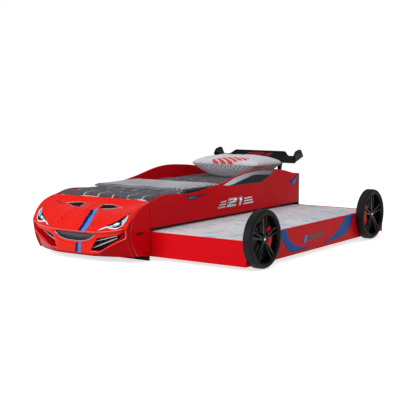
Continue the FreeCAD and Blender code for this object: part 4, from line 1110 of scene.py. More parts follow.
def build_stripe():
    """Two-tone stripe over the hood and below the mouth."""
    upper = {"navy": [(40, 324.5), (66, 329), (82, 300), (88, 262), (90, 232), (89, 205), (63, 206),
                      (63, 222), (60, 262), (54, 297)],
             "blue": [(66, 329), (94, 333), (124, 297), (131, 273), (128, 240), (121, 206), (89, 205),
                      (90, 232), (88, 262), (82, 300)]}
    lower = {"navy": [(31, 119.5), (52, 123), (46, 92), (33, 57.5), (8, 60.5), (21, 92)],
             "blue": [(52, 123), (74, 127), (70, 92), (61, 57), (33, 57.5), (46, 92)]}
    for place, shapes in (("hood", upper), ("chin", lower)):
        parts = [inlay("stripe_%s_%s" % (place, colour), points, front_face, stripe_paints[colour],
                       BED, 1.3, 0.9, 6.0)
                 for colour, points in shapes.items()]
        ride(join_pieces("stripe_" + place, parts))


# ---- panels' decoration ------------------------------------------------
def build_fender_faces():
    """Fender boards set a little back inside the shell's rounded rim."""
    line = moved_in(front_profile(HALF), RIM_ROUND - 1.5)
    outline = [(SEAM - max(f, 0.0), z) for f, z in line[::3]] + [(SEAM - line[-1][0], line[-1][1])]
    outline += [(SEAM, 28.0)]
    for side, sign in SIDES:
        made = inlay(side + "_fender_board", outline, on_side(HALF - 2.0, sign), board_red,
                     BED, 0.0, 8.0, 60.0)
        ride(made, [side + "_fender_panel"])


def build_window():
    """Printed side window: black border, pale band and dark glass."""
    outer = curve_through([(-1103, 429), (-949, 475), (-840, 496), (-733, 507), (-552, 512), (-350, 490),
                           (-399, 472), (-477, 443), (-570, 413), (-786, 417),
                           (-985, 421)], 8, sharp=(0, 5, 8))
    band = curve_through([(-1088, 431), (-949, 470), (-840, 490), (-733, 501), (-552, 505), (-380, 490),
                          (-449, 467), (-589, 477), (-679, 479), (-821, 455),
                          (-991, 426)], 8, sharp=(0, 5, 6))
    glass = curve_through([(-985, 425), (-821, 452), (-679, 475), (-589, 473), (-452, 463), (-482, 446),
                           (-573, 418), (-786, 421)], 8, sharp=(0, 4, 6))
    for side, sign in SIDES:
        parts = [inlay("%s_window_%s" % (side, part), shape, on_side(HALF, sign), material,
                       BED, out, 0.35, 80)
                 for part, shape, material, out in (("border", outer, gloss_black, 0.35),
                                                    ("band", band, window_silver, 0.7),
                                                    ("glass", glass, window_dark, 0.75))]
        ride(join_pieces(side + "_window", parts))


def build_side_graphics():
    """Small black and blue fins printed on both side panels."""
    shapes = [("front_fin", [(-1541, 389), (-1252, 389), (-1506, 360)], gloss_black, 0.35),
              ("front_fin_blue", [(-1508, 381), (-1408, 380), (-1496, 368)], stripe_paints["blue"], 0.7),
              ("rear_fin", [(-20, 440), (-152, 386), (-70, 340)], stripe_paints["navy"], 0.35),
              ("rear_fin_blue", [(-24, 416), (-98, 380), (-68, 354)], stripe_paints["blue"], 0.7)]
    for side, sign in SIDES:
        parts = [inlay("%s_%s" % (side, name), points, on_side(HALF, sign), material, BED, out, 0.35, 90)
                 for name, points, material, out in shapes]
        ride(join_pieces(side + "_side_fins", parts))


def slanted(points, y0, z0, width, height, lean):
    """A figure drawn in a unit square, leaned over and placed on the side."""
    return [(y0 + u * width + v * height * lean, z0 + v * height) for u, v in points]


FIGURE_TWO = [(0.0, 0.72), (0.0, 1.0), (1.0, 1.0), (1.0, 0.42), (0.36, 0.42), (0.36, 0.24), (1.0, 0.24),
              (1.0, 0.0), (0.0, 0.0), (0.0, 0.62), (0.64, 0.62), (0.64, 0.78), (0.36, 0.78), (0.36, 0.72)]
FIGURE_ONE = [(0.0, 0.76), (0.3, 1.0), (0.72, 1.0), (0.72, 0.0), (0.34, 0.0), (0.34, 0.72), (0.0, 0.62)]
BADGE_FIGURES = [(FIGURE_TWO, -1046, 116), (FIGURE_ONE, -912, 74)]
BADGE_BARS = [(-1160, -1062, 268), (-1142, -1056, 287), (-1124, -1050, 306),
              (-826, -686, 268), (-820, -698, 287), (-814, -710, 306)]
BADGE_BASE, BADGE_HEIGHT, BADGE_MIDDLE = 266, 64, -942


def build_badge():
    """Raised bright race number between speed bars."""
    for side, sign in SIDES:
        surface = on_side(HALF, sign)
        parts = []
        for number, (figure, start, width) in enumerate(BADGE_FIGURES):
            if side == "far":
                figure = [(1 - u, v) for u, v in figure]
                start = 2 * BADGE_MIDDLE - start - width
            shape = slanted(figure, start, BADGE_BASE, width, BADGE_HEIGHT, sign * 0.35)
            shade = [(y + 5, z - 4) for y, z in shape]
            parts.append(inlay("%s_shade_%d" % (side, number), shade, surface, gloss_black,
                               BED, 1.0, 1.0, 200))
            parts.append(inlay("%s_figure_%d" % (side, number), shape, surface, chrome, BED, 4.0, 4.0, 200))
        for number, (start, end, z) in enumerate(BADGE_BARS):
            shape = [(start, z), (end, z), (end + 3, z + 11), (start + 8, z + 11)]
            parts.append(inlay("%s_bar_%d" % (side, number), shape, surface, chrome, BED, 3.0, 3.0, 200))
        ride(round_edges(join_pieces(side + "_race_number", parts), 0.8, 2, 40))


def build_swooshes():
    """Blue bands on the trundle's side panel, edged in navy."""
    surface = on_side(TRUNDLE_FACE)
    front_outer = curve_through([(-1522, 208), (-1506, 150), (-1440, 78), (-1387, 50), (-1240, 48),
                                 (-1085, 53), (-1180, 60), (-1300, 76), (-1392, 112), (-1440, 160),
                                 (-1462, 208)], 7, sharp=(0, 5, 10))
    front_inner = curve_through([(-1509, 208), (-1490, 152), (-1428, 88), (-1378, 61), (-1240, 55),
                                 (-1120, 56), (-1190, 62), (-1300, 80), (-1384, 118), (-1428, 164),
                                 (-1448, 208)], 7, sharp=(0, 5, 10))
    rear_outer = curve_through([(-480, 211), (-552, 113), (-640, 74), (-760, 60), (-960, 54), (-800, 84),
                                (-694, 134), (-640, 172), (-604, 208)], 7, sharp=(0, 4, 8))
    rear_inner = curve_through([(-492, 211), (-564, 120), (-648, 84), (-764, 66), (-920, 60), (-800, 90),
                                (-704, 138), (-654, 174), (-616, 208)], 7, sharp=(0, 4, 8))
    parts = []
    for name, outer, inner in (("front", front_outer, front_inner), ("rear", rear_outer, rear_inner)):
        parts.append(inlay(name + "_edge", outer, surface, stripe_paints["navy"], TRUNDLE, 0.3, 0.3, 60))
        parts.append(inlay(name + "_fill", inner, surface, panel_blue, TRUNDLE, 0.6, 0.3, 60))
    plate = [("plate_blue", [(-1218, 92), (-1188, 94), (-1170, 138), (-1200, 136)], stripe_paints["blue"]),
             ("plate_navy", [(-1238, 91), (-1222, 92), (-1204, 136), (-1220, 135)], stripe_paints["navy"]),
             ("plate_bar", [(-1176, 98), (-952, 108), (-944, 132), (-1162, 126)], gloss_black)]
    for name, shape, paint in plate:
        parts.append(inlay(name, shape, surface, paint, TRUNDLE, 0.4, 0.4, 60))
    ride(join_pieces("trundle_swooshes", parts))


# ---- wheels ------------------------------------------------
def ring_points(radius, count, start=0.0):
    """Points spread evenly on a circle."""
    return [(radius * math.cos(start + 2 * math.pi * k / count),
             radius * math.sin(start + 2 * math.pi * k / count))
            for k in range(count)]


SPOKE_SECTION = ((-1.0, -13), (-0.95, -3.5), (-0.5, -0.6), (0.0, 0.0), (0.5, -0.6), (0.95, -3.5), (1.0, -13))
HUB_CAP = ((-2, 0.1), (-2, 9.6), (1.5, 9.6), (3.4, 8.4), (4.4, 6), (4.8, 0.1))
CALIPER_SECTION = ((64, 9), (62, 24), (66, 30), (88, 33), (112, 30), (120, 24), (120, 9))


def spoke_rows(centre, sign, middle, turn, outside, hub_face, face):
    """Cross sections of one spoke of a pair, from the hub to the rim."""
    tip, root, inside = middle + turn * math.radians(6.2), middle + turn * math.radians(9.0), 18.0
    rows = []
    for t in np.linspace(0, 1, 9):
        reach = inside + (outside - inside) * t
        angle = root * (1 - t) + tip * t
        half = 6.8 * (1 - t) + 5.6 * t + 1.6 * (2 * t - 1) ** 4
        front = hub_face - 1 + (face - 3 - hub_face) * t ** 1.4 + 2.2 * math.sin(math.pi * t)
        radial = (math.cos(angle), math.sin(angle))
        cross = (-radial[1], radial[0])
        rows.append([(centre[0] + sign * (front + out),
                      centre[1] + radial[0] * reach + cross[0] * half * across,
                      centre[2] + radial[1] * reach + cross[1] * half * across)
                     for across, out in SPOKE_SECTION])
    return rows


def build_wheel(side, place):
    """Tyre, spoked rim, brake disc, caliper and bolts of one wheel cover."""
    node = "%s_%s_" % (side, place)
    body = TRUNDLE if side == "near" else BED
    low, high = span(node + "tyre")
    sign = 1 if side == "near" else -1
    back = low[0] if side == "near" else high[0]
    centre = (back, (low[1] + high[1]) / 2, (low[2] + high[2]) / 2)
    radius = (high[2] - low[2]) / 2
    depth = high[0] - low[0]
    inner = radius - 32
    profile = [(0, inner + 4), (0, radius - 3), (2, radius), (depth * 0.5, radius),
               (depth - 12, radius - 0.6), (depth - 6.5, radius - 2.6), (depth - 2.6, radius - 6.4),
               (depth - 0.6, radius - 11), (depth, radius - 15.5), (depth - 0.6, radius - 17.2),
               (depth, radius - 18.8), (depth - 0.8, inner + 6), (depth - 2.4, inner + 3.4),
               (depth - 2.0, inner + 2.0), (depth - 6, inner), (4, inner)]
    tyre = lathe(node + "tyre_cover", profile, centre, tyre_rubber, body, 128, sign, 30)
    ride(tyre, [node + "tyre"])

    face = depth - 6
    disc_back = lathe(node + "backplate", [(0.5, 0.2), (0.5, inner - 0.4), (6, inner - 0.4),
                                           (7.5, inner - 10), (7.5, 0.2)],
                      centre, rim_shade, body, 72, sign)
    barrel = lathe(node + "barrel", [(7, inner - 0.3), (face, inner - 0.3), (face + 1.2, inner - 1.6),
                                     (face + 0.6, inner - 3.4), (face - 3, inner - 5.0),
                                     (face - 14, inner - 8), (7, inner - 9)], centre,
                   rim_gloss, body, 112, sign)
    brake = lathe(node + "brake_disc", [(10, 34), (10, 96), (11, 98), (15, 98), (16, 96), (16, 34)], centre,
                  disc_steel, body, 72, sign)
    parts = [barrel]
    hub_face = face - 8
    hub = lathe(node + "hub", [(8, 0.2), (8, 34), (hub_face - 8, 30), (hub_face - 3, 27), (hub_face, 22),
                               (hub_face, 14), (hub_face - 2, 13),
                               (hub_face - 2, 0.2)], centre, rim_gloss, body, 64, sign)
    parts.append(hub)
    for pair in range(5):
        for turn in (-1, 1):
            rows = spoke_rows(centre, sign, math.radians(90 + 72 * pair), turn, inner - 5, hub_face, face)
            wide = len(SPOKE_SECTION)
            points = [p for row in rows for p in row]
            faces = ring_faces(len(rows), wide, ends=True)
            name = node + "spoke_%d_%d" % (pair, turn)
            parts.append(facing_out(add_piece(name, points, faces, rim_gloss, body, sharp=50)))
            # A bronze bead along one edge of one blade in each pair: painted glint where light catches the
            # spoke.
            if turn == 1:
                edge = [row[5] for row in rows[1:-1]]
                parts.append(tube(node + "spoke_edge_%d" % pair, edge, 1.1, spoke_glint, body, 6, closed=False))
    rim = join_pieces(node + "rim_spokes", parts)
    rim.data.set_sharp_from_angle(angle=math.radians(45))
    ride(rim, [node + "rim"])
    ride(join_pieces(node + "brake", [disc_back, brake]))

    # caliper on the side of the hub towards the middle of the bed
    points = []
    steps, sweep = 22, math.radians(92)
    way = 1 if place == "front" else -1
    for k in range(steps + 1):
        a = -sweep / 2 + sweep * k / steps
        swell = 1 - 0.16 * abs(2 * k / steps - 1) ** 3
        for r, out in CALIPER_SECTION:
            r *= swell if r == 120 else 1
            points.append((centre[0] + sign * out, centre[1] + way * r * math.cos(a),
                           centre[2] + r * math.sin(a)))
    faces = ring_faces(steps + 1, len(CALIPER_SECTION), ends=True)
    caliper = facing_out(add_piece(node + "brake_caliper", points, faces, caliper_red, body, sharp=40))
    caliper = round_edges(caliper, 1.6, 2, 30)
    ride(caliper, [node + "caliper"])

    out = Vector((sign, 0, 0))
    ring = ring_points(18.5, 5, 0.3)
    spots = [(centre[0] + sign * (hub_face - 0.2), centre[1] + y, centre[2] + z) for y, z in ring]
    bolts = run_repeat(node + "wheel_bolts", bolts_tree, {"Radius": 0.0032, "Height": 0.0024, "Sides": 6},
                       spots, [], disc_steel, body, [out] * 5)
    ride(bolts)
    # Lighter grey dots where the disc's drilled holes are: painted glints of the holes.
    rings = ring_points(58, 14) + ring_points(72, 18, 0.1) + ring_points(86, 22, 0.2)
    spots = [(centre[0] + sign * 16.2, centre[1] + y, centre[2] + z) for y, z in rings]
    holes = run_repeat(node + "disc_holes", holes_tree, {"Radius": 0.0034, "Height": 0.0008, "Sides": 10},
                       spots, [], hole_glint_steel, body, [out] * len(spots))
    ride(holes)
    return centre, hub_face, sign, body


def build_wheels():
    """Four wheel covers, and the hub caps of each side as one piece."""
    for side in ("near", "far"):
        caps = []
        for place in ("front", "rear"):
            centre, hub_face, sign, body = build_wheel(side, place)
            profile = [(hub_face + out, radius) for out, radius in HUB_CAP]
            caps.append(lathe("%s_%s_cap" % (side, place), profile, centre, hub_silver, body, 48, sign, 60))
        ride(join_pieces(side + "_centre_caps", caps), [side + "_hub_caps"])


# ---- spoiler ------------------------------------------------
WING_BOTTOM, WING_TOP, WING_SHOULDER = 524.0, 616.0, 581.0
WING_FRONT, WING_CHORD, WING_HOLLOW, WING_THICK = 2.0, 92.0, 14.0, 14.0
WING_SPAN = 784.0


def wing_face(z, out=0.0):
    """Front face of the wing's blade at a height, as y."""
    t = (z - WING_BOTTOM) / (WING_TOP - WING_BOTTOM)
    lean = math.hypot(WING_CHORD, WING_TOP - WING_BOTTOM)
    dip = 4 * WING_HOLLOW * t * (1 - t)
    y = WING_FRONT + WING_CHORD * t + dip * (WING_TOP - WING_BOTTOM) / lean
    return y - out


def on_wing(x, z, out):
    """Point on the front face of the wing's blade."""
    return Vector((x, wing_face(z, out), z))


def wing_height(x):
    """Top edge of the blade, lower towards its ends."""
    return WING_TOP + (WING_SHOULDER - WING_TOP) * float(rising(abs(x), 238, 64.0))


def build_spoiler():
    """Hollow-faced wing blade with its graphics, between two end plates."""
    rows, columns = 14, 99
    points = []
    for x in np.linspace(-WING_SPAN / 2, WING_SPAN / 2, columns):
        steps = [(k / rows, WING_BOTTOM + (wing_height(x) - WING_BOTTOM) * k / rows) for k in range(rows + 1)]
        points += [(x, wing_face(z), z) for share, z in steps]
        for share, z in reversed(steps):
            thick = WING_THICK * (0.35 + 0.65 * math.sin(math.pi * min(1, 0.08 + share * 0.92)) ** 0.6)
            points.append((x, wing_face(z) + thick, z - 1.0))
    wide = 2 * (rows + 1)
    faces = ring_faces(columns, wide)
    faces += [tuple(range(wide)), tuple(reversed(range((columns - 1) * wide, columns * wide)))]
    blade = facing_out(add_piece("wing_blade", points, faces, spoiler_black, BED, sharp=40))
    blade = round_edges(blade, 1.5, 2, 50)
    ride(blade, ["spoiler_wing"])

    shapes = [[(x0, z), (x1, z), (x1 + 8, z + 6), (x0 + 8, z + 6)]
              for x0, x1, z in ((-124, -58, 577), (-112, -58, 589), (60, 114, 577), (70, 128, 589))]
    for row in range(2):
        for column in range(6):
            x0, z0 = -50 + column * 17 + (8.5 if row else 0), 577 + row * 12
            shapes.append([(x0, z0), (x0 + 8.5, z0), (x0 + 8.5, z0 + 12), (x0, z0 + 12)])
    marks = [inlay("wing_mark_%d" % number, shape, on_wing, graphic_red, BED, 0.6, 0.6, 12)
             for number, shape in enumerate(shapes)]
    ride(join_pieces("wing_graphics", marks))

    side_line = [(-20.0, 585.0), (12.0, 622.0), (70.0, 635.0), (94.0, 632.0), (135.0, 575.0), (12.0, 536.0)]
    plates = [inlay("plate_%d" % sign, soft_corners(side_line, 9, 6), on_side(WING_SPAN / 2, sign),
                    spoiler_black, BED, 10.0, 10.0, 300) for sign in (-1, 1)]
    made = round_edges(join_pieces("wing_end_plates", plates), 2.2, 3, 40)
    ride(made, ["spoiler_end_plates"])


# ---- bedding ------------------------------------------------
def soft_noise(points, scale, seed):
    """Smooth noise for folds, the same at every run."""
    shift = Vector((seed * 7.31, seed * 3.17, seed * 1.73))
    return np.array([noise.noise(Vector(p) * scale + shift) for p in points])


def draped_grid(half_x, half_y, top, corner, drop, columns, rows):
    """A cloth over a block: points for a flat top that turns down round its edges."""
    arc = corner * math.pi / 2
    reach_x, reach_y = half_x - corner + arc + drop, half_y - corner + arc + drop
    points, flat = [], []
    for a in np.linspace(-reach_x, reach_x, columns):
        for b in np.linspace(-reach_y, reach_y, rows):
            over = np.array([math.copysign(max(abs(a) - (half_x - corner), 0), a),
                             math.copysign(max(abs(b) - (half_y - corner), 0), b)])
            d = float(np.hypot(*over))
            x, y = np.clip(a, corner - half_x, half_x - corner), np.clip(b, corner - half_y, half_y - corner)
            z = top
            if d > 0:
                way = over / d
                d = min(d, arc + drop)
                angle = min(d / corner, math.pi / 2)
                x += way[0] * corner * math.sin(angle)
                y += way[1] * corner * math.sin(angle)
                z -= corner * (1 - math.cos(angle)) + max(0.0, d - arc)
            points.append([x, y, z])
            flat.append((a, b))
    return np.array(points), np.array(flat), grid_faces(columns, rows)


def grid_normals(points, columns, rows):
    """Direction out of a grid at each of its points."""
    grid = points.reshape(columns, rows, 3)
    along = np.gradient(grid, axis=0)
    across = np.gradient(grid, axis=1)
    normal = np.cross(along, across)
    normal /= np.maximum(np.linalg.norm(normal, axis=2), 1e-9)[..., None]
    return normal.reshape(-1, 3)


def store_flat(made, flat):
    """Keeps the flat cloth coordinates on the mesh as its UV map, in metres."""
    layer = made.data.uv_layers.new(name="cloth")
    loops = np.zeros(len(made.data.loops), int)
    made.data.loops.foreach_get("vertex_index", loops)
    layer.data.foreach_set("uv", (flat[loops % len(flat)] / 1000).astype(np.float32).ravel())


def quilt_lines(a, b):
    """Distance in millimetres to the nearest sewn line of a brick-like quilting."""
    row_pitch, brick = 185.0, 129.0
    wave = 7 * np.sin(a / 61.0) + 5 * np.sin(b / 83.0 + a / 140.0)
    row = (b + wave + 38.0) / row_pitch
    index = np.floor(row)
    to_row = np.minimum(row - index, index + 1 - row) * row_pitch
    shift = np.where(np.mod(index, 2) == 0, 0.0, 0.5)
    column = (a + 9 * np.sin(b / 47.0) - 18.5) / brick + shift
    base = np.floor(column)
    to_column = np.minimum(column - base, base + 1 - column) * brick
    return np.minimum(to_row, to_column)


def build_quilt():
    """Quilt over the mattress, puffed between its sewn lines."""
    low, high = span("quilt")
    middle_y = (low[1] + high[1]) / 2
    half_x, half_y = (high[0] - low[0]) / 2, (high[1] - low[1]) / 2
    columns, rows = 150, 320
    points, flat, faces = draped_grid(half_x - 2.0, half_y - 2.0, high[2] - 5.0, 40.0, 6.0, columns, rows)
    sewn = quilt_lines(flat[:, 0], flat[:, 1])
    puff = 6.5 * (1 - np.exp(-(sewn / 22.0) ** 1.3))
    creases = soft_noise([(a, b * 1.6, 0) for a, b in flat], 0.011, 3) * 1.4
    points += grid_normals(points, columns, rows) * (puff + creases)[:, None]
    points[:, 1] += middle_y
    made = add_piece("quilt_cover", points, faces, quilt_cloth, BED)
    store_flat(made, flat)
    field = made.data.attributes.new("sewn", "FLOAT", "POINT")
    field.data.foreach_set("value", (sewn / 1000).astype(np.float32))
    made = thicken(made, 7.0, -1.0 if made.data.polygons[len(faces) // 2].normal.z > 0 else 1.0, False)
    ride(made, ["quilt"])


def build_mattress(node, name, corner, crown, body):
    """A closed mattress: crowned top, rounded edges, and a welted seam round the top."""
    low, high = span(node)
    cx, cy = (low[0] + high[0]) / 2, (low[1] + high[1]) / 2
    half_x, half_y = (high[0] - low[0]) / 2 - 1.0, (high[1] - low[1]) / 2 - 1.0
    top, bottom = high[2] - 0.5, low[2] + 0.2
    side_drop = top - bottom - 2 * corner
    columns, rows = 70, 150
    points, flat, faces = draped_grid(half_x, half_y, top - crown, corner, side_drop / 2, columns, rows)
    under = points.copy()
    under[:, 2] = (top - crown + bottom) - under[:, 2]
    swell = np.clip(1 - np.abs(points[:, 0] / half_x) ** 6, 0, 1)
    swell *= np.clip(1 - np.abs(points[:, 1] / half_y) ** 6, 0, 1)
    flat_top = points[:, 2] > top - crown - corner * 0.9
    tufts = np.sin(flat[:, 0] / 68.0 * math.pi) * np.sin(flat[:, 1] / 68.0 * math.pi)
    dips = soft_noise([(a, b, 0) for a, b in flat], 0.006, 8)
    points[:, 2] += np.where(flat_top, (crown - 2.0 + 1.2 * tufts + 0.8 * dips) * swell, 0)
    points[:, :2] += (cx, cy)
    under[:, :2] += (cx, cy)
    count = len(points)
    all_faces = faces + [tuple(i + count for i in reversed(f)) for f in faces]
    rim = grid_rim(columns, rows)
    for a, b in zip(rim, rim[1:] + rim[:1]):
        all_faces.append((a, b, b + count, a + count))
    made = facing_out(add_piece(name, np.vstack([points, under]), all_faces, mattress_cloth, body))
    ride(made, [node])
    welt_line = []
    r = corner * (1 - math.sqrt(0.5))
    for ex, ey in ring_points(1, 240):
        ex, ey = math.copysign(abs(ex) ** 0.16, ex), math.copysign(abs(ey) ** 0.16, ey)
        welt_line.append((cx + ex * (half_x - r), cy + ey * (half_y - r), top - crown - r + 0.6))
    ride(tube(name + "_welt", welt_line, 2.2, pillow_edge, body, 6))


def build_blanket():
    """A blanket folded into layers, with a fringe at its near end."""
    low, high = span("blanket")
    x0, x1 = low[0] + 1, high[0] + 10
    y0, y1 = low[1] - 28, high[1] - 3
    rest = low[2] + 1.6
    layer_gap, insets = 5.6, (0, 7, 3, 11)
    layers = len(insets)
    half_turn = layer_gap / 2
    line = []
    for layer, inset in enumerate(insets):
        z = rest + layer * layer_gap
        run = np.linspace(y0 + half_turn + inset, y1 - half_turn - inset * 0.6, 44)
        if layer % 2:
            run = run[::-1]
        line += [(y, z) for y in run]
        if layer < layers - 1:
            end, sign = line[-1][0], (1 if layer % 2 == 0 else -1)
            for a in np.linspace(-math.pi / 2, math.pi / 2, 8)[1:-1]:
                line.append((end + sign * half_turn * math.cos(a), z + half_turn + half_turn * math.sin(a)))
    line = np.array(line)
    along = np.concatenate([[0], np.cumsum(np.hypot(*np.diff(line, axis=0).T))])
    columns = 90
    xs = np.linspace(x0, x1, columns)
    points = []
    for x in xs:
        sag = 1.5 * math.sin(x / 140.0)
        for y, z in line:
            lift = (z - rest) / (layer_gap * (layers - 1))
            ripple = 1.7 * math.sin(x / 53.0 + y / 120.0) * lift + 1.1 * math.sin(x / 27.0 - y / 45.0) * lift
            drop = 9.0 * float(ease((-x - 372) / 44.0)) + 4.0 * float(ease((x - 352) / 40.0))
            points.append((x + 3.5 * math.sin(y / 70.0 + lift * 2), y + 4.0 * math.sin(x / 96.0 + lift) + sag,
                           z + ripple * 0.6 - drop * (0.3 + 0.7 * lift)))
    made = add_piece("folded_blanket", points, grid_faces(columns, len(line)), blanket_cloth, BED)
    store_flat(made, np.array([(x - x0, s) for x in xs for s in along]))
    made = thicken(made, 3.0, 0.0, False)
    knots, facing = [], []
    random.seed(5)
    for y, z in np.repeat(line, 3, axis=0):
        lift = (z - rest) / (layer_gap * (layers - 1))
        knots.append((x1 + 2.0 + random.uniform(-2, 2), y + random.uniform(-5, 5),
                      z - 4.0 * (0.3 + 0.7 * lift) + random.uniform(-1, 1)))
        facing.append((1.0, random.uniform(-0.25, 0.25), random.uniform(-0.32, 0.02)))
    fringe = run_repeat("blanket_fringe", tassel_tree(fringe_thread),
                        {"Length": 0.022, "Thickness": 0.0022, "Seed": 4}, knots, [], fringe_thread, BED,
                        facing)
    ride(made, ["blanket"])
    ride(fringe)


def build_pillow():
    """A full pillow: thick middle, drawn-in sides, pinched corners and a piped seam."""
    low, high = span("pillow")
    cx, cy = (low[0] + high[0]) / 2, (low[1] + high[1]) / 2
    half_x, half_y = (high[0] - low[0]) / 2 - 2, (high[1] - low[1]) / 2 - 2
    bottom, top = low[2] + 0.5, high[2] + 11.0
    seam = bottom + (top - bottom) * 0.60
    columns, rows = 120, 90
    shape, flat = [], []
    for s in [-math.cos(math.pi * i / (columns - 1)) for i in range(columns)]:
        for t in [-math.cos(math.pi * j / (rows - 1)) for j in range(rows)]:
            draw = 1 - 0.085 * (1 - s ** 2) * abs(t) ** 3
            pull = 1 - 0.05 * (1 - t ** 2) * abs(s) ** 3
            tuck = 1 - 0.075 * (abs(s) * abs(t)) ** 4
            fullness = (1 - abs(s) ** 2.6) * (1 - abs(t) ** 2.4)
            shape.append((half_x * s * pull * tuck, half_y * t * draw * tuck, max(fullness, 0.0) ** 0.46))
            flat.append((half_x * s, half_y * t))
    shape, flat = np.array(shape), np.array(flat)
    rise = shape[:, 2]
    seam_share = 1 - rise
    angle = np.arctan2(flat[:, 1] / half_y, flat[:, 0] / half_x)
    puckers = np.sin(angle * 46) * 2.2 + np.sin(angle * 29 + 1.2) * 2.6
    corner_fold = np.exp(-((np.abs(flat[:, 0]) / half_x - 1) ** 2
                           + (np.abs(flat[:, 1]) / half_y - 1) ** 2) / 0.07)
    wrinkle = soft_noise([(a, b, 1) for a, b in flat], 0.012, 12) * 7
    wrinkle += soft_noise([(a, b, 4) for a, b in flat], 0.03, 2) * 2.6
    dent = -7 * np.exp(-(((flat[:, 0] - 30) / 150) ** 2 + ((flat[:, 1] + 10) / 90) ** 2))
    folds = puckers * seam_share ** 1.5 * (rise > 0.02) + wrinkle * rise + corner_fold * 4 + dent
    over = seam + (top - seam) * rise + folds * (rise > 0.001)
    under = seam - (seam - bottom) * np.minimum(1.0, rise ** 1.5 * 1.2)
    count = len(flat)
    points = [(cx + x, cy + y, min(z, top)) for (x, y, _), z in zip(shape, over)]
    points += [(cx + x, cy + y, max(z, bottom)) for (x, y, _), z in zip(shape, under)]
    faces = []
    for a, b, c, d in grid_faces(columns, rows):
        faces += [(a, b, c, d), (a + count, d + count, c + count, b + count)]
    made = add_piece("pillow_cover", points, faces, pillow_cloth, BED)
    store_flat(made, flat)
    made = facing_out(made)
    ride(made, ["pillow"])
    piping = tube("pillow_piping", [points[i] for i in grid_rim(columns, rows)], 2.4, pillow_edge, BED, 6)
    ride(piping)


# ---- finishes of this bed ------------------------------------------------
def make_quilt_cloth():
    """Dark grey cloth with worn pale lines where it is quilted."""
    made = Finish("quilt_cloth", tone(84, 82, 88), 0.95).set(Sheen_Weight=0.08, Specular_IOR_Level=0.15)
    uv = made.cloth_place()
    sewn = made.node("ShaderNodeAttribute", attribute_name="sewn").outputs["Fac"]
    stitched = made.node("ShaderNodeMapRange",
                         {"Value": sewn, "From Min": 0.0048, "From Max": 0.0026}).outputs[0]
    worn = made.ramp(made.noise(6.0, 3.0, 0.6, uv), [(0.42, 0.0), (0.52, 1.0)])
    line = made.times(stitched, worn)
    mottle = made.ramp(made.noise(30.0, 5.0, 0.65),
                       [(0.3, tone(58, 56, 62)), (0.55, tone(84, 81, 88)), (0.8, tone(104, 101, 108))])
    made.paint(made.blend(line, mottle, tone(222, 221, 226)))
    return made.relief(weave(made, 700), 0.0005, 0.6).material


def make_blanket_cloth():
    """Pale grey knit with a dark speckled border at its near end."""
    made = Finish("blanket_cloth", tone(162, 162, 170), 0.95).set(Sheen_Weight=0.2, Specular_IOR_Level=0.2)
    fibres = made.noise(120.0, 4.0, 0.7, made.spread(scale=(1, 6, 1)))
    plain = made.blend(made.ramp(made.noise(6.0, 4.0), [(0.3, 0.0), (0.7, 1.0)]), tone(146, 147, 154),
                       tone(176, 177, 184))
    uv = made.cloth_place()
    along = made.axes(uv)["X"]
    width = (span("blanket")[1][0] - span("blanket")[0][0]) / 1000
    border = made.node("ShaderNodeMapRange",
                       {"Value": along, "From Min": width - 0.082, "From Max": width - 0.072})
    speckle = made.ramp(made.node("ShaderNodeTexNoise",
                                  {"Vector": uv, "Scale": 95.0, "Detail": 1.0}).outputs["Fac"],
                        [(0.45, tone(18, 18, 24)), (0.5, tone(84, 84, 90)), (0.55, tone(224, 224, 230))])
    made.paint(made.blend(border.outputs[0], plain, speckle))
    return made.relief(made.math("ADD", fibres, weave(made, 420)), 0.0008, 0.7).material


def make_pillow_cloth():
    """Pale cloth with a printed border of short strokes and a slanted red motif."""
    made = Finish("pillow_cloth", tone(206, 206, 211), 0.85).set(Sheen_Weight=0.1, Specular_IOR_Level=0.2)
    uv = made.cloth_place()
    parts = made.axes(uv)
    low, high = span("pillow")
    half_x, half_y = (high[0] - low[0]) / 2000, (high[1] - low[1]) / 2000
    to_edge = made.math("MAXIMUM", made.math("DIVIDE", made.math("ABSOLUTE", parts["X"]), half_x),
                        made.math("DIVIDE", made.math("ABSOLUTE", parts["Y"]), half_y))
    border = made.ramp(to_edge, [(0.74, 0.0), (0.78, 1.0)])
    leaning = made.axes(made.spread(turn=(0, 0, 0.9), source=uv))
    row = made.math("DIVIDE", leaning["Y"], 0.0115)
    offset = made.times(made.math("FLOOR", row), 0.37)
    shifted = made.math("ADD", made.math("DIVIDE", leaning["X"], 0.03), offset)
    strokes = made.times(made.math("LESS_THAN", made.math("FRACT", row), 0.46),
                        made.math("LESS_THAN", made.math("FRACT", shifted), 0.72))
    height = made.axes(made.place)["Z"]
    seam = (low[2] + (high[2] - low[2]) * 0.64) / 1000
    ink = made.times(made.times(strokes, border), made.math("LESS_THAN", height, seam))
    ground = made.blend(made.times(ink, 0.9), tone(212, 212, 217), tone(38, 38, 56))
    motif_place = made.spread((-0.018, 0.190, 0), turn=(0, 0, -0.19), source=uv)
    turned = made.axes(motif_place)
    slide = made.math("ADD", made.times(turned["X"], 19.0), made.times(turned["Y"], 24.0))
    slide = made.math("FRACT", slide)
    bars = made.math("LESS_THAN", slide, 0.72)
    inside_x = made.math("LESS_THAN", made.math("ABSOLUTE", turned["X"]), 0.165)
    narrowing = made.times(made.math("ABSOLUTE", turned["X"]), 0.14)
    inside_y = made.math("LESS_THAN", made.math("ADD", made.math("ABSOLUTE", turned["Y"]), narrowing), 0.046)
    upper = made.math("GREATER_THAN", height, seam)
    motif = upper
    for limit in (inside_x, inside_y, bars):
        motif = made.times(motif, limit)
    made.paint(made.blend(motif, ground, tone(216, 78, 84)))
    return made.relief(weave(made, 900), 0.0004, 0.6).material


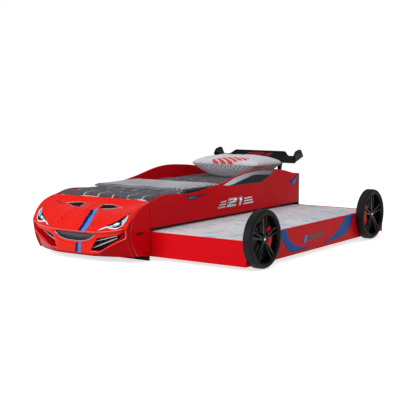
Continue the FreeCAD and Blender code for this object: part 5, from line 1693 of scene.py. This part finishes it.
def make_mattress_cloth():
    """Off-white knitted ticking with scattered pale-blue and grey dashes."""
    made = Finish("mattress_cloth", tone(206, 206, 210), 0.88).set(Sheen_Weight=0.1, Specular_IOR_Level=0.2)
    base = made.ramp(made.noise(3.0, 3.0), [(0.3, tone(200, 200, 205)), (0.7, tone(220, 219, 222))])
    for scale, inner, outer, colour, seed in ((7.0, 0.24, 0.28, tone(126, 176, 228), 0.0),
                                              (16.0, 0.14, 0.17, tone(146, 138, 140), 3.7),
                                              (11.0, 0.15, 0.18, tone(104, 150, 214), 8.1)):
        place = made.spread((seed, seed, 0), (1.0, 2.6, 0.0))
        cells = made.node("ShaderNodeTexVoronoi", {"Vector": place, "Scale": scale, "Randomness": 1.0},
                          feature="F1")
        dash = made.ramp(cells.outputs["Distance"], [(inner, 1.0), (outer, 0.0)])
        base = made.blend(made.times(dash, 0.8), base, colour)
    made.paint(base)
    quilting = made.node("ShaderNodeTexWave",
                         {"Vector": made.spread(scale=(1, 1, 0)), "Scale": 6.0, "Distortion": 2.0},
                         bands_direction="DIAGONAL").outputs["Fac"]
    height = made.math("ADD", quilting, made.times(weave(made, 500), 0.3))
    return made.relief(height, 0.0012, 0.5).material


def make_window_silver():
    """Silver print that darkens towards the head end."""
    made = Finish("window_silver", tone(150, 154, 162), 0.32, 0.4)
    parts = made.axes(made.place)
    start = REAR_Y - 1.1
    share = made.node("ShaderNodeMapRange",
                      {"Value": parts["Y"], "From Min": start, "From Max": start + 0.75})
    made.paint(made.ramp(share.outputs[0],
                         [(0.0, tone(232, 236, 244)), (0.35, tone(176, 182, 194)), (0.7, tone(120, 126, 140)),
                                 (1.0, tone(92, 96, 108))]))
    return made.relief(made.noise(90.0), 0.0001, 0.2).material


def make_satin_silver():
    """Painted silver of the trim, brighter and duller in patches."""
    made = Finish("satin_silver", tone(186, 186, 194), 0.35, 0.5).set(Specular_IOR_Level=0.4)
    made.polish(made.ramp(made.noise(60.0, 4.0), [(0.3, 0.28), (0.7, 0.42)]))
    return made.relief(made.noise(300.0), 0.0001, 0.3).material


paint_red = lacquer("hood_red", tone(238, 34, 20), tone(230, 24, 16))
# Deeper red: painted shade on the bumper's turned-away faces and on the walls of the mouth and fog pockets,
# and the print colour of the second hood stroke.
deep_red_and_shade = lacquer("deep_red_and_shade", tone(184, 4, 12), tone(170, 2, 10), 0.3, 0.02, 0.05)
# Lighter, pinker red with a strong coat for beads and lips: partly real gloss, partly painted highlight.
highlight_lip_red = lacquer("highlight_lip_red", tone(240, 66, 58), tone(236, 54, 48), 0.16, 0.5, 0.5)
board_red = lacquer("board_red", tone(226, 8, 24), tone(214, 4, 20), 0.34, 0.02, 0.05)
board_black = lacquer("board_black", tone(30, 30, 33), tone(22, 22, 25), 0.4, 0.2)
spoiler_black = moulded("spoiler_black", tone(13, 12, 15), 0.3, 300.0, 0.0001, 0.05, 0.12)
gloss_black = moulded("gloss_black", tone(22, 21, 24), 0.26, 300.0, 0.00008, 0.08)
matt_black = moulded("matt_black", tone(16, 16, 18), 0.75)
pocket_black = moulded("pocket_black", tone(16, 8, 9), 0.5, 300.0, 0.0001, 0.0, 0.1)
grille_grey = metal("grille_grey", tone(120, 124, 134), 0.42)
lamp_dark = moulded("lamp_dark", tone(26, 30, 44), 0.2, 300.0, 0.0001, 0.2)
lamp_silver = metal("lamp_silver", tone(214, 216, 222), 0.2)
lamp_white = moulded("lamp_white", tone(232, 236, 242), 0.25, 300.0, 0.0001, 0.3)
clear_cover = Finish("clear_cover", (0.96, 0.98, 1.0, 1.0), 0.03).set(Transmission_Weight=1.0, IOR=1.1,
                                                                      Alpha=0.35).material
tyre_rubber = moulded("tyre_grey", tone(18, 18, 20), 0.5, 500.0, 0.0003, 0.0, 0.16)
rim_gloss = moulded("rim_black", tone(12, 11, 12), 0.2, 200.0, 0.00005, 0.03, 0.16)
# Bronze metal for the spoke beads: a painted glint.
spoke_glint = metal("spoke_glint_metal", tone(176, 142, 92), 0.3)
satin_silver = make_satin_silver()
lamp_blue = moulded("lamp_blue", tone(168, 196, 226), 0.22, 300.0, 0.0001, 0.2)
rim_shade = moulded("rim_shade", tone(12, 12, 13), 0.5)
disc_steel = metal("disc_steel", tone(30, 30, 33), 0.4)
# Lighter steel for the dots on the brake disc: painted glints of its holes.
hole_glint_steel = metal("hole_glint_steel", tone(96, 96, 102), 0.3)
caliper_red = lacquer("caliper_red", tone(222, 18, 24), tone(208, 12, 18), 0.25)
hub_silver = metal("hub_silver", tone(206, 207, 212), 0.16)
chrome = metal("chrome_badge", tone(222, 224, 228), 0.12)
zinc = metal("zinc_steel", tone(176, 178, 180), 0.34)
slat_pine = pine("slat_pine")
caster_black = moulded("caster_black", tone(36, 36, 38), 0.6)
stripe_paints = {"navy": lacquer("stripe_navy", tone(22, 26, 92), tone(18, 22, 80)),
                 "blue": lacquer("stripe_blue", tone(72, 142, 222), tone(62, 130, 210))}
panel_blue = lacquer("panel_blue", tone(8, 96, 180), tone(4, 82, 160), 0.3, 0.02, 0.05)
graphic_red = lacquer("graphic_red", tone(178, 44, 60), tone(160, 36, 50), 0.35)
window_dark = lacquer("window_dark", tone(30, 26, 36), tone(38, 34, 46), 0.3, 0.02, 0.05)
window_silver = make_window_silver()
quilt_cloth = make_quilt_cloth()
blanket_cloth = make_blanket_cloth()
pillow_cloth = make_pillow_cloth()
pillow_edge = moulded("pillow_edge", tone(186, 186, 192), 0.9, 900.0, 0.0003)
fringe_thread = moulded("fringe_thread", tone(96, 94, 102), 0.95, 900.0, 0.0003)
mattress_cloth = make_mattress_cloth()
bolts_tree = bolt_tree(disc_steel)
holes_tree = bolt_tree(hole_glint_steel)

CAD_FINISHES = {
    # near_bottom_trim in matt black is an edge strip that also stands for the dark line of shade under the
    # near side panel: partly trim, partly painted shade.
    "near_side_panel": board_red, "far_side_panel": board_red, "near_bottom_trim": matt_black,
    "front_bulkhead": board_black, "rear_board": board_black, "panel_screws": zinc, "corner_brackets": zinc,
    "front_plinth": matt_black, "far_plinth": matt_black,
    "near_slat_rail": slat_pine, "far_slat_rail": slat_pine, "cross_rails": slat_pine, "bed_slats": slat_pine,
    "spoiler_struts": spoiler_black, "trundle_side_panel": board_red, "trundle_front_panel": board_red,
    "trundle_rear_panel": board_red, "trundle_inner_rail": slat_pine, "trundle_ledges": slat_pine,
    "trundle_bearers": slat_pine, "trundle_slats": slat_pine, "caster_forks": zinc, "caster_axles": zinc,
    "caster_wheel_inner_front": caster_black, "caster_wheel_inner_rear": caster_black,
    "caster_wheel_outer_front": caster_black, "caster_wheel_outer_rear": caster_black,
}


def finish_cad_nodes():
    """Materials of the solids that are shown as they are."""
    for name, material in CAD_FINISHES.items():
        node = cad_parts[name]
        node.data.materials.clear()
        node.data.materials.append(material)


place_camera()
light_studio()
lay_floor()
finish_cad_nodes()
build_front_shell()
build_edges()
build_mouth()
build_headlights()
build_fog_intakes()
build_vents()
build_stripe()
build_fender_faces()
build_window()
build_side_graphics()
build_badge()
build_swooshes()
build_wheels()
build_spoiler()
build_quilt()
build_mattress("bed_mattress", "main_mattress", 30.0, 1.0, BED)
build_mattress("trundle_mattress", "pull_out_mattress", 22.0, 5.0, TRUNDLE)
build_blanket()
build_pillow()
